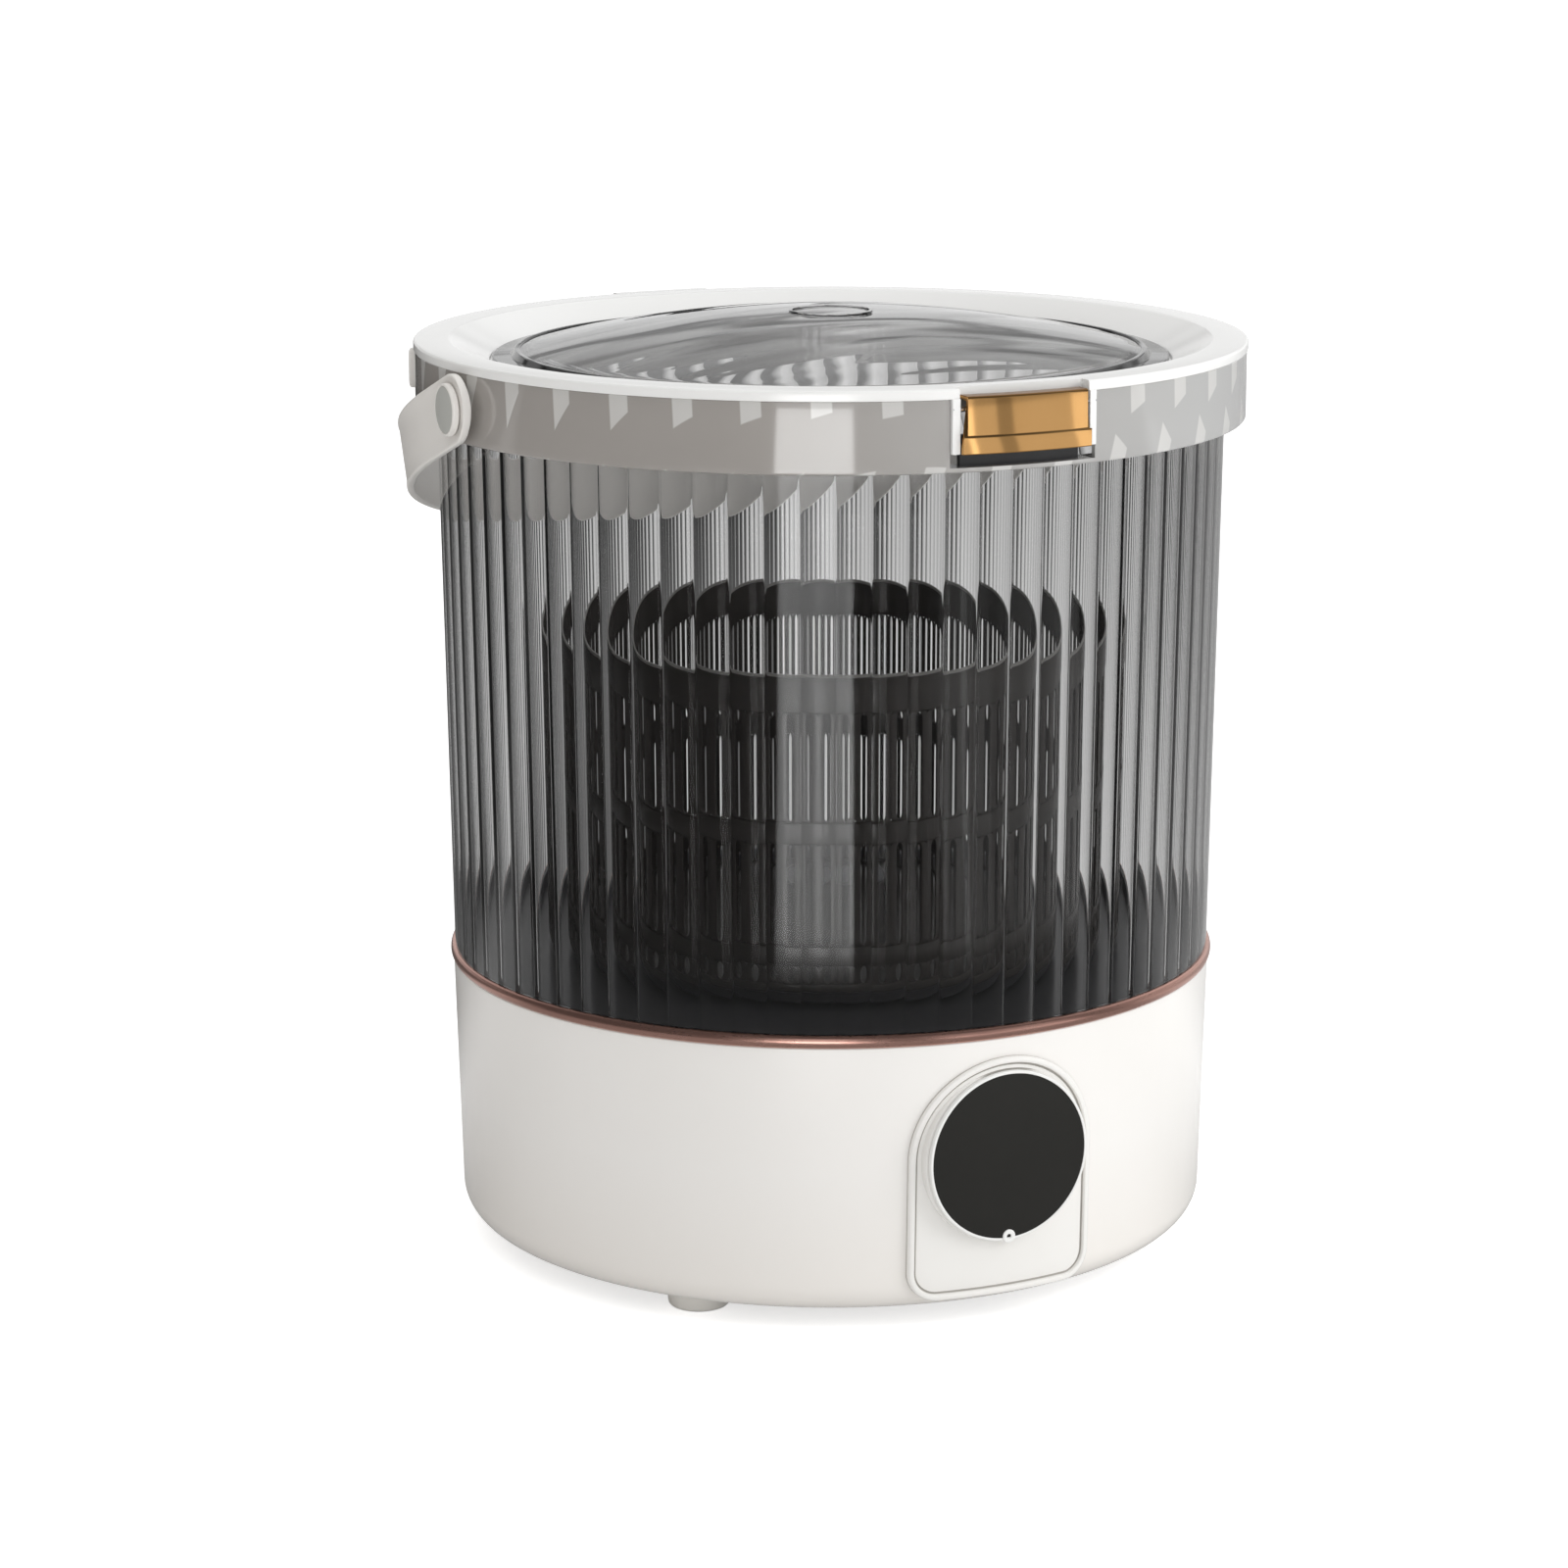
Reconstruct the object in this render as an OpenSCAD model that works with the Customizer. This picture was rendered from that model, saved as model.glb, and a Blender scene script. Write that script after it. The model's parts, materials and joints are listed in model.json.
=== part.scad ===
// Portable washing machine: a smoky fluted tub on a round white base, with a hinged domed lid,
// a gold front clasp, a swinging carrying handle, a timer knob and a spinning slotted basket.
// Millimetres, +Z up, front towards -Y. The origin is on the floor, on the axis of the tub.

/* [Base] */
// Outer radius of the base shell at its top edge
base_r = 159.6; // [150:0.1:175]
// How much the base shell narrows towards its foot
base_draft = 2.5; // [0:0.1:5]
// Height of the base shell
base_h = 111; // [104:0.5:130]
// Radius of the rounded lower edge of the base
base_fillet = 12.4; // [9:0.1:18]
// Wall thickness of the base shell
base_wall = 2.6; // [2:0.1:4]
// Thickness of the bottom plate
plate_t = 3; // [2.5:0.1:4]
// Thickness of the lip that the bottom plate closes against
lip_t = 2.8; // [2:0.1:4]
// Width of the flat lip inside the rounded edge
lip_w = 4.5; // [3:0.1:8]
// Width of the ledge that carries the tub floor
ledge_w = 8; // [5:0.5:12]
// Thickness of that ledge
ledge_t = 3; // [2:0.1:5]

/* [Feet] */
// Height of the rubber feet
foot_h = 8; // [5:0.5:14]
// Radius of a foot where it meets the base
foot_r = 13; // [9:0.1:15]
// Radius of the flat sole of a foot
sole_r = 10.5; // [7:0.1:12]
// Distance of the feet in from the base's top edge
foot_inset = 29.6; // [28.6:0.1:50]
// Angle of the feet from the front and back
foot_angle = 50; // [35:1:55]
// Radius of the peg on a foot
peg_r = 4; // [3:0.1:5]

/* [Trim ring] */
// Height of the rose-gold ring
trim_h = 5; // [3:0.1:8]
// How far the ring stands out past the base
trim_proud = 1.2; // [0.4:0.1:3]

/* [Tub] */
// Height of the fluted wall
tub_h = 222.5; // [190:0.5:260]
// How far the flute ridges sit inside the base's top edge
tub_inset = 0.6; // [0.2:0.1:1.2]
// How much the wall widens towards its top
tub_flare = 3.3; // [1:0.1:5]
// Number of flutes
flute_count = 72; // [36:2:96]
// Depth of a flute
flute_depth = 1; // [0.4:0.1:1.4]
// Least thickness of the fluted wall
tub_wall_t = 2.6; // [2.2:0.1:3]
// Thickness of the tub floor
floor_t = 3.5; // [2.5:0.1:4.5]

/* [Collar] */
// Height of the smooth band
collar_h = 28.1; // [26:0.1:40]
// How far the smooth band stands out from the top of the fluted wall
collar_out = 8.7; // [6.7:0.1:10.7]
// Wall thickness of the band
collar_wall = 2.6; // [2:0.1:3.5]
// Thickness of the web that joins the band to the tub
web_t = 2; // [1.5:0.1:3]
// Wall thickness of the splash rim inside the band
splash_t = 2.3; // [1.6:0.1:3]

/* [Lid] */
// How far the white lid ring stands out past the band
lid_overhang = 0.5; // [0:0.1:1]
// Thickness of the lid ring at its edge
lid_t = 4.1; // [3:0.1:5]
// Width of the flat part of the ring
lid_flat_w = 14.5; // [11.5:0.1:20]
// Width of the sloping part of the ring
slope_w = 17; // [12:0.1:25]
// Depth of the seat for the dome below the ring's top
seat_drop = 9.5; // [6.5:0.1:10.5]
// Thickness of the sloping part of the ring
slope_t = 2.5; // [2:0.1:3]
// Width of the ledge under the dome's flange
seat_w = 5; // [3:0.1:8]
// Thickness of the clear dome
dome_t = 2.2; // [1.6:0.1:2.4]
// Width of the dome's flat flange
flange_w = 12.3; // [9:0.1:20]
// Height of that step
step_h = 2.2; // [1:0.1:3]
// Rise of the dome above the step
dome_rise = 14.8; // [8:0.1:20]
// Outer radius of the small ring on the crown
crown_r = 16.5; // [8:0.1:24]
// Height of the rim seal under the lid
gasket_h = 5.3; // [3:0.1:8]
// Length of the locating skirt under the lid
skirt_h = 4.6; // [2:0.1:6]
// How far in front of the ring's rear edge the skirt ends
skirt_end = 34.3; // [30:0.1:50]

/* [Clasp] */
// Width of the gold flap
flap_w = 55; // [45:0.5:60]
// Height of the gold flap
flap_h = 22.2; // [18:0.1:23]
// Thickness of the gold flap
flap_t = 2.4; // [1.8:0.1:3]
// Height of the wider lip along the flap's lower edge
flap_lip_h = 7.2; // [5:0.1:9]
// Width of the white bars beside the flap
bar_w = 3.2; // [2.5:0.1:5]
// Radius of the flap's hinge pin
flap_pin_r = 1.2; // [1:0.1:1.5]
// Depth of the notch in the lid ring
notch_d = 8; // [7:0.1:9]

/* [Lid hinge] */
// Radius of the hinge pin
hinge_pin_r = 1.6; // [1.2:0.1:2]
// Radius of the hinge knuckles
knuckle_r = 3.2; // [2.8:0.1:4.5]
// Drop of the hinge pin below the band's top
hinge_drop = 10.6; // [8:0.1:12]
// Width of the lid's hinge knuckle
hinge_w = 44; // [30:0.5:60]
// Width of each fixed ear
ear_w = 6; // [4:0.1:10]
// Width of the block under the ears
block_w = 72; // [68:0.5:90]
// Height of that block
block_h = 10; // [7:0.1:10.5]

/* [Carrying handle] */
// Gap between the smooth band and the handle's bow
bow_gap = 1.8; // [1.5:0.1:4]
// Gap between the stored handle and the tub
stored_gap = 1.8; // [1:0.1:8]
// Thickness of the strap
strap_t = 3; // [2:0.1:4]
// Width of the strap
strap_w = 28; // [22:0.5:34]
// Distance of the pivots in front of the axis
pivot_front = 21; // [0:0.5:30]
// Drop of the pivots below the band's top
pivot_drop = 13.6; // [13:0.1:14.5]
// Angle of the stored handle below the horizontal
handle_lean = 20; // [10:1:35]
// Radius of the pivot pin
stud_r = 5; // [4:0.1:6]
// Radius of the pivot's round button
button_r = 10.5; // [8:0.1:12]
// Thickness of that button
button_t = 2.7; // [2:0.1:4]
// Angle of the handle stops from the front
stop_angle = 116; // [110:1:130]
// Height of a handle stop
stop_h = 16.5; // [14:0.1:18]
// Width of a handle stop
stop_w = 10; // [8:0.1:14]
// How far a handle stop stands out
stop_proud = 3; // [2:0.1:3.5]
// Gap between a handle stop and the band's top edge
stop_drop = 1.6; // [1:0.1:2.5]

/* [Control panel] */
// Width of the arched panel
panel_w = 81; // [76:0.5:90]
// Gap between the top of the panel and the trim ring
panel_top = 7.5; // [5:0.1:9]
// Height of the panel's lower edge above the base's underside
panel_low = 5; // [4:0.1:10]
// Radius of the panel's lower corners
panel_corner = 12; // [8:0.1:16]
// Thickness of the panel
panel_t = 1; // [0.8:0.1:2]
// Width of the raised bead around the panel
bead_w = 3; // [2:0.1:3]
// Height of the bead above the base
bead_h = 2.4; // [1.8:0.1:3]

/* [Timer knob] */
// Width of the panel that shows around the knob, with its bead
knob_margin = 5.5; // [5:0.1:12]
// Thickness of the knob
knob_t = 2.6; // [2.2:0.1:4]
// Width of the white rim around the black face
knob_rim = 1.2; // [0.8:0.1:3]
// Thickness of the black face
face_t = 0.6; // [0.4:0.1:1]
// Radius of the pointer nub
nub_r = 2.8; // [2:0.1:2.8]
// Radius of the knob's shaft
knob_shaft_r = 3; // [2.5:0.1:4]
// Width and height of the timer's case
timer_w = 44; // [38:0.5:50]
// Depth of the timer's case
timer_d = 28; // [20:0.5:34]

/* [Basket] */
// Gap between the basket and the inside of the fluted wall's foot
basket_gap = 49.4; // [44:0.1:60]
// Height of the basket
basket_h = 130; // [100:0.5:140]
// Wall thickness of the basket
basket_wall = 2; // [1.6:0.1:3]
// Height of the gap under the basket, above the fluted wall's foot
basket_up = 3; // [2.6:0.1:6]
// Number of slots around the basket
slot_count = 44; // [32:2:52]
// Width of a slot
slot_w = 6; // [3:0.1:7]
// Height of the solid rim band
rim_band = 15.4; // [8:0.1:20]
// How far the rim band stands out
rim_proud = 1.2; // [0.4:0.1:2]
// Height of the middle band
middle_band = 9; // [5:0.1:12]
// Height of the middle row of slots
middle_slots = 42; // [20:0.1:45]
// Height of the lower band
lower_band = 8; // [5:0.1:12]
// Height of the lowest row of slots
lowest_slots = 7.5; // [4:0.1:12]
// Height of the band at the basket's foot
foot_band = 3.5; // [3:0.1:6]
// Thickness of the basket's floor
basket_floor_t = 2.5; // [2:0.1:3]

/* [Pulsator] */
// How far the rim of the pulsator disc sits inside the basket's
pulsator_in = 8; // [3:0.5:30]
// Thickness of the pulsator disc
pulsator_t = 4; // [3:0.1:4.2]
// Height of the vanes on the disc
vane_h = 2; // [1:0.1:2]
// Number of vanes
vane_count = 6; // [3:1:8]
// Radius of the pulsator's hub
hub_r = 15; // [13:0.1:18]
// Height of the pulsator's hub above its disc
hub_h = 25; // [18:0.5:40]

/* [Drive] */
// Radius of the spindle
spindle_r = 6; // [5:0.1:7]
// Outer radius of the bearings
bearing_r = 16; // [14:0.1:18]
// Width of a bearing
bearing_w = 10; // [8:0.1:12]
// Height of the bearing housing below the tub floor
housing_h = 38; // [30:0.5:40]
// Radius of the bearing housing's flange
housing_flange_r = 42; // [34:0.5:50]
// Belt radius on the drive pulley
drive_r = 56; // [48:0.5:60]
// Belt radius on the motor pulley
motor_pulley_r = 14; // [10:0.5:18]
// Width of both pulleys
pulley_w = 10; // [9:0.1:12]
// Width of the belt
belt_w = 6; // [4:0.1:8]
// Thickness of the belt
belt_t = 2.6; // [2:0.1:3]
// Distance of the motor shaft in from the base's top edge
motor_inset = 67.6; // [64:0.1:75]
// Direction of the motor, measured from +X
motor_angle = 150; // [146:1:156]
// Radius of the motor
motor_r = 36; // [28:0.5:37]
// Gap between the motor and its pulley
motor_gap = 6; // [3:0.1:12]
// Radius of the motor shaft
motor_shaft_r = 4; // [3:0.1:5]
// Thickness of the motor's mounting plate
bracket_t = 3; // [2:0.1:3]
// Height of the rubber dampers
damper_h = 6; // [4:0.1:7]

/* [Drain and power] */
// Direction of the drain, measured from +X
drain_angle = 60; // [50:1:65]
// Gap between the basket and the drain's stopper
drain_gap = 1.8; // [1:0.1:4]
// Radius of the drain hole
drain_r = 8; // [6:0.1:8.5]
// Outer radius of the hose spout
spout_r = 8; // [6:0.1:9]
// Length of the hose spout outside the base
spout_l = 17; // [14:0.5:19]
// Height of the spout above the base's underside
spout_up = 32; // [24:0.5:60]
// Wall thickness of the drain pipe
pipe_wall = 1.8; // [1.4:0.1:2.4]
// Direction of the power inlet, measured from +X
gland_angle = 90; // [88:1:122]
// Bore radius of the power inlet
gland_bore_r = 3.5; // [2.5:0.1:4]
// Outer radius of the power inlet
gland_r = 6; // [5.5:0.1:8]
// Length of the power inlet
gland_l = 26; // [20:0.5:30]

/* [Control board] */
// Length of the board
board_l = 60; // [50:0.5:66]
// Width of the board
board_w = 44; // [38:0.5:60]
// Thickness of the board
board_t = 1.6; // [1:0.1:2.4]
// Distance of the board's outer edge in from the base's top edge
board_inset = 37.6; // [35:0.1:50]
// Radius of the capacitor
cap_r = 12; // [8:0.1:14]
// Height of the capacitor
cap_h = 34; // [20:0.5:40]

/* [Fits] */
// Radial clearance of running shafts and pins
run_gap = 0.05; // [0.03:0.01:0.1]
// Clearance between seated parts
seat_gap = 0.3; // [0.2:0.05:0.4]
// Radius of the large screws
screw_r = 1.9; // [1.5:0.1:2.2]
// Height of a screw head
head_h = 1.6; // [1.2:0.1:2]

/* [Hidden] */
$fn = 96;
eps = 0.01;
big = 400;
screw_head_r = 2 * screw_r;

// Heights that follow from the sizes above
z_base = foot_h;
z_plate = z_base + plate_t;
z_ring = z_base + base_h;
z_tub = z_ring + trim_h;
z_band = z_tub + tub_h;
z_lid = z_band + collar_h;
z_lid_top = z_lid + lid_t;
z_seat = z_lid_top - seat_drop;
floor_rim_h = trim_h + 4;
splash_h = collar_h - gasket_h - seat_gap;
z_floor = z_tub - floor_rim_h;
z_floor_top = z_floor + floor_t;
z_knob = z_ring - panel_top - panel_w / 2;
z_pivot = z_lid - pivot_drop;
z_hinge = z_lid - hinge_drop;

// Radii that follow from the base's
tub_r0 = base_r - tub_inset;
tub_r1 = tub_r0 + tub_flare;
collar_r = tub_r1 + collar_out;
lid_r = collar_r + lid_overhang;
lid_flat_r = lid_r - lid_flat_w;
dome_gap = 0.7;
dome_r = lid_flat_r - slope_w - dome_gap;
step_r = dome_r - flange_w;
bow_r = collar_r + bow_gap;
arm_l = (tub_r1 + stored_gap + strap_w / 2 * sin(handle_lean) + pivot_front) / cos(handle_lean) - bow_r;
basket_r = tub_r0 - flute_depth - tub_wall_t - basket_gap;
pulsator_r = basket_r - pulsator_in;
y_hinge = collar_r + knuckle_r + seat_gap + 0.1;

// Base
base_low_r = base_r - base_draft;
lip_r = base_low_r - base_fillet - lip_w;
plate_r = base_low_r - base_fillet - seat_gap;
boss_r = 5;
boss_h = 12;
boss_ring_r = lip_r - 1.5;
foot_ring_r = base_r - foot_inset;
ledge_boss_h = 5;
foot_angles = [-90 - foot_angle, -90 + foot_angle, 90 - foot_angle, 90 + foot_angle];
boss_angles = [0, 90, 180, 270];
tub_screw_angles = [15, 75, 135, 195, 255, 315];
tub_screw_ring_r = base_r - base_wall - ledge_w / 2 - seat_gap;

// Drive
z_bearing_low = z_floor - housing_h;
z_pulley = z_bearing_low - 15;
z_belt = z_pulley + (pulley_w - belt_w) / 2;
z_nut = z_pulley - 9;
nut_h = 5.5;
z_motor = z_plate + damper_h + bracket_t;
z_bracket = z_plate + damper_h;
motor_h = z_pulley - motor_gap - z_motor;
motor_away = base_r - motor_inset;
bracket_screw_ring_r = motor_r + screw_head_r + 0.4;
bracket_r = bracket_screw_ring_r + screw_head_r;
housing_screw_ring_r = housing_flange_r - 6;
housing_flange_t = 4;
bracket_screw_angles = [45, 135, 225, 315];
z_pulsator = z_floor_top + 2;
z_pulsator_top = z_pulsator + pulsator_t;
z_basket = z_tub + basket_up;
z_spindle_top = z_pulsator_top + hub_h - 4;

// Clasp
z_flap_low = z_lid + 1.4 - flap_h;
flap_in_r = collar_r + 1.2;
flap_half = flap_w / 2;
flap_side_gap = 1.7;
bar_x = flap_half + seat_gap;
pin_y = collar_r - 2.5;
pin_z = z_lid - 3.6;
keeper_r = collar_r - 4;
keeper_lip_r = collar_r - 2.4;

// Knob
knob_r = panel_w / 2 - knob_margin;
timer_bush_r = 4.5;
boss_face_y = radius_at(z_knob) + panel_t + 0.3;
knob_back_y = boss_face_y + seat_gap;
knob_face_y = knob_back_y + knob_t;
timer_y = radius_at(z_knob) - base_wall - 7.5;
nub_ring_r = knob_r - 1.8;

// Handle and drain
stud_seat_x = bow_r - seat_gap;
button_x = bow_r + strap_t + seat_gap;
cap_depth = 0.6;
z_spout = z_base + spout_up;
pipe_r = drain_r + pipe_wall;
socket_r = spout_r + pipe_wall;
socket_l = 10;
shoulder_r = spout_r + 1;
shoulder_l = 2;
stopper_r = drain_r + 4;
drain_away = basket_r + rim_proud + drain_gap + stopper_r;
board_away = base_r - board_inset - board_l;
board_gap = 6;
z_board = z_plate + board_gap;
relay = [18, 15, 14];
relay_at = [6, 2];
chip = [14, 14, 2];
chip_at = [8, -18];
cap_gap = 2;

// Outer radius of the base shell's sloping wall at height z
function radius_at(z) = base_r - base_draft * (z_ring - z) / (base_h - base_fillet);
// Points of a quarter circle in the base's section, from angle a0 to a1 measured from below
function edge_arc(r, a0, a1, steps) = [
    for (i = [0 : steps])
        let (a = a0 + (a1 - a0) * i / steps)
        [base_low_r - base_fillet + r * sin(a), z_base + base_fillet - r * cos(a)]
];

// Segments of a circle: the large ones need more to stay round
function segments(r) = r > 60 ? 360 : 96;

// A tube about the Z axis from z0 to z1
module tube(r_out, r_in, z0, z1) {
    translate([0, 0, z0]) difference() {
        cylinder(r = r_out, h = z1 - z0, $fn = segments(r_out));
        translate([0, 0, -1]) cylinder(r = r_in, h = z1 - z0 + 2, $fn = segments(r_in));
    }
}

// A rod about the Z axis from z0 to z1
module rod(r, z0, z1) {
    translate([0, 0, z0]) cylinder(r = r, h = z1 - z0, $fn = segments(r));
}

// A rod along X from x0 to x1 at the given y and z
module rod_x(r, x0, x1, y, z) {
    translate([x0, y, z]) rotate([0, 90, 0]) cylinder(r = r, h = x1 - x0);
}

// A rod that runs forwards, from y = -y0 to y = -y1
module rod_front(r, y0, y1, x, z) {
    translate([x, -y0, z]) rotate([90, 0, 0]) cylinder(r = r, h = y1 - y0);
}

// A block between two corners
module block(a, b) {
    translate(a) cube(b - a);
}

// Copies its children at a radius and a list of angles
module around(r, angles) {
    for (a = angles) rotate([0, 0, a]) translate([r, 0, 0]) children();
}

// A screw that points up, with its head's underside at height z
module screw_up(z, length) {
    rod(screw_r, z, z + length);
    rod(screw_head_r, z - head_h, z);
}

// A screw that points down, with its head's underside at height z
module screw_down(z, length) {
    rod(screw_r, z - length, z);
    rod(screw_head_r, z, z + head_h);
}

// The solid outline of the base, grown by d
module base_solid(d) {
    rotate_extrude($fn = 360) polygon(concat(
        [[0, z_base - d]],
        edge_arc(base_fillet + d, 0, 90, 10),
        [[base_r + d, z_ring], [0, z_ring]]));
}

module base_shell() {
    inner_r = base_fillet - base_wall;
    lip_top = z_plate + lip_t;
    arc_end = acos((base_fillet - plate_t - lip_t) / inner_r);
    ledge_r = base_r - base_wall - ledge_w;
    color("whitesmoke") difference() {
        union() {
            rotate_extrude() polygon(concat(
                edge_arc(base_fillet, 0, 90, 10),
                [[base_r, z_ring],
                 [base_r - base_wall, z_ring],
                 [radius_at(z_floor) - base_wall, z_floor],
                 [ledge_r, z_floor],
                 [ledge_r, z_floor - ledge_t],
                 [radius_at(z_floor - ledge_t) - base_wall, z_floor - ledge_t]],
                edge_arc(inner_r, 90, arc_end, 8),
                [[lip_r, lip_top],
                 [lip_r, z_plate],
                 [base_low_r - base_fillet, z_plate]]));
            around(boss_ring_r, boss_angles) rod(boss_r, z_plate, z_plate + boss_h);
            around(tub_screw_ring_r, tub_screw_angles)
                rod(ledge_w / 2 - seat_gap, z_floor - ledge_t - ledge_boss_h, z_floor - ledge_t + 1);
            for (s = [-1, 1])
                rod_front(4, timer_y, timer_y + 8.5, s * timer_w / 3, z_knob);
        }
        around(boss_ring_r, boss_angles)
            rod(screw_r + run_gap, z_plate - 1, z_plate + boss_h - 2);
        around(tub_screw_ring_r, tub_screw_angles)
            rod(screw_r + run_gap, z_floor - ledge_t - ledge_boss_h - 1, z_floor + 1);
        rod_front(timer_bush_r + seat_gap, timer_y - 5, base_r + 5, 0, z_knob);
        rotate([0, 0, drain_angle])
            rod_x(shoulder_r + seat_gap, base_low_r - 20, base_r + 5, 0, z_spout);
        rotate([0, 0, gland_angle])
            rod_x(gland_r + seat_gap, base_low_r - 20, base_r + 5, 0, z_spout);
    }
}

module bottom_plate() {
    vent_count = 7;
    vent_w = 4;
    vent_pitch = 9;
    vent_l = 46;
    vent_front = lip_r - 44.2;
    color("gainsboro") difference() {
        rod(plate_r, z_base, z_plate);
        around(boss_ring_r, boss_angles) {
            rod(screw_r + seat_gap, z_base - 1, z_plate + 1);
            rod(screw_head_r + seat_gap, z_base - 1, z_base + head_h);
        }
        around(foot_ring_r, foot_angles) rod(peg_r + run_gap, z_base - 1, z_plate + 1);
        at_motor() around(bracket_screw_ring_r, bracket_screw_angles)
            rod(screw_r + run_gap, z_base + 0.5, z_plate + 1);
        for (i = [0 : vent_count - 1])
            translate([(i - (vent_count - 1) / 2) * vent_pitch - vent_w / 2, -vent_front, z_base - 1])
                cube([vent_w, vent_l, plate_t + 2]);
    }
}

module foot() {
    rotate_extrude() polygon([
        [0, 0], [sole_r, 0], [sole_r + 1.4, 0.6], [foot_r - 0.4, foot_h * 0.35],
        [foot_r, foot_h * 0.7], [foot_r, z_base], [peg_r, z_base], [peg_r, z_plate], [0, z_plate]]);
}

module feet() {
    color("ivory") around(foot_ring_r, foot_angles) foot();
}

module base_screws() {
    color("silver") around(boss_ring_r, boss_angles)
        screw_up(z_base + head_h, plate_t + boss_h - head_h - 3);
}

module trim_ring() {
    r_in = base_r - base_wall + 0.2;
    r_out = base_r + trim_proud;
    round_r = trim_h / 2;
    color([0.72, 0.45, 0.4]) rotate_extrude() polygon(concat(
        [[r_in, z_ring]],
        [for (i = [0 : 8])
            let (a = -90 + 180 * i / 8)
            [r_out - round_r * 0.6 + round_r * 0.6 * cos(a), z_ring + round_r + round_r * sin(a)]],
        [[r_in, z_tub]]));
}

// Outline of the fluted wall at its bottom, with a ridge on the front centre line
function flute_point(i, n) =
    let (step = 360 / flute_count,
         k = i % n,
         t = 2 * k / n - 1,
         dip = flute_depth * (1 - t * t),
         a = -90 + step * (i / n))
    [(tub_r0 - dip) * cos(a), (tub_r0 - dip) * sin(a)];

module tub_wall() {
    points_per_flute = 6;
    color([0.45, 0.45, 0.46, 0.5])
    translate([0, 0, z_tub])
    linear_extrude(height = tub_h, scale = tub_r1 / tub_r0, slices = 1)
    difference() {
        polygon([for (i = [0 : flute_count * points_per_flute - 1])
            flute_point(i, points_per_flute)]);
        circle(r = tub_r0 - flute_depth - tub_wall_t, $fn = 144);
    }
}

module tub_floor() {
    rim_r = base_r - base_wall - seat_gap - 0.1;
    rim_w = 6.6;
    color("dimgray") difference() {
        rotate_extrude() polygon([
            [0, z_floor], [rim_r, z_floor], [rim_r, z_tub], [rim_r - rim_w, z_tub],
            [rim_r - rim_w - 3, z_floor_top], [0, z_floor_top]]);
        rod(bearing_r - 1.9, z_floor - 1, z_floor_top + 1);
        rotate([0, 0, drain_angle]) translate([drain_away, 0, 0])
            rod(drain_r + 1, z_floor - 1, z_floor_top + 1);
        around(tub_screw_ring_r, tub_screw_angles)
            rod(screw_r + run_gap, z_floor - 1, z_floor + floor_rim_h - 3);
        around(housing_screw_ring_r, boss_angles)
            rod(screw_r + run_gap, z_floor - 1, z_floor + floor_t - 1);
    }
}

module tub_screws() {
    thread_l = 2;
    color("silver") around(tub_screw_ring_r, tub_screw_angles)
        screw_up(z_floor - ledge_t - ledge_boss_h, ledge_boss_h + ledge_t + thread_l);
}

module tub_collar() {
    splash_r = tub_r1 - flute_depth - tub_wall_t;
    color([0.65, 0.65, 0.66, 0.6]) difference() {
        rotate_extrude() polygon([
            [splash_r, z_band],
            [collar_r, z_band],
            [collar_r, z_lid],
            [collar_r - collar_wall, z_lid],
            [collar_r - collar_wall, z_band + web_t],
            [splash_r + splash_t, z_band + web_t],
            [splash_r + splash_t, z_band + splash_h],
            [splash_r, z_band + splash_h]]);
        block([-bar_x - bar_w - seat_gap, -collar_r - 5, z_band + web_t],
              [bar_x + bar_w + seat_gap, -collar_r + 12, z_lid + 1]);
        for (s = [-1, 1])
            translate([s * (collar_r - 5), -pivot_front, z_pivot]) rotate([0, s * 90, 0])
                cylinder(r = stud_r + run_gap, h = 10);
    }
}

module latch_keeper() {
    half = flap_half - 2;
    plate = 2.4;
    color("darkgray") intersection() {
        union() {
            tube(keeper_r, keeper_r - plate, z_band + web_t, z_flap_low + 6.8);
            tube(keeper_lip_r, keeper_r - plate, z_flap_low + 4, z_flap_low + 6.8);
        }
        block([-half, -collar_r - 5, z_band], [half, -collar_r + 12, z_lid]);
    }
}

module hinge_bracket() {
    ear_x = hinge_w / 2 + seat_gap;
    color("dimgray") difference() {
        union() {
            block([-block_w / 2, collar_r - 8, z_band + 0.5],
                  [block_w / 2, collar_r + 3, z_band + 0.5 + block_h]);
            for (s = [-1, 1]) translate([s * (ear_x + ear_w / 2), 0, 0]) {
                block([-ear_w / 2, collar_r - 3, z_band + block_h - 2],
                      [ear_w / 2, y_hinge + knuckle_r - 0.2, z_hinge]);
                rod_x(knuckle_r - 0.2, -ear_w / 2, ear_w / 2, y_hinge, z_hinge);
            }
        }
        rod(collar_r + 0.05, z_band - 1, z_lid + 5);
        rod_x(hinge_pin_r + run_gap, -block_w, block_w, y_hinge, z_hinge);
    }
}

module hinge_pin() {
    half = hinge_w / 2 + seat_gap + ear_w;
    color("silver") rod_x(hinge_pin_r, -half, half, y_hinge, z_hinge);
}

// Both sides of something built on the left or right pivot, with local +Z pointing outwards
module at_pivots() {
    for (s = [-1, 1]) translate([0, -pivot_front, z_pivot]) rotate([0, s * 90, 0]) children();
}

module handle_studs() {
    color("whitesmoke") difference() {
        union() {
            at_pivots() rod(stud_r, collar_r - 6, button_x + eps);
            at_pivots() rod(button_r, collar_r - 3, stud_seat_x);
            at_pivots() difference() {
                rod(button_r, button_x, button_x + button_t);
                rod(button_r - 1.2, button_x + button_t - cap_depth, big);
            }
        }
        difference() {
            rod(collar_r + 0.05, z_band, z_lid);
            at_pivots() rod(stud_r, 0, big);
        }
    }
}

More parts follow.
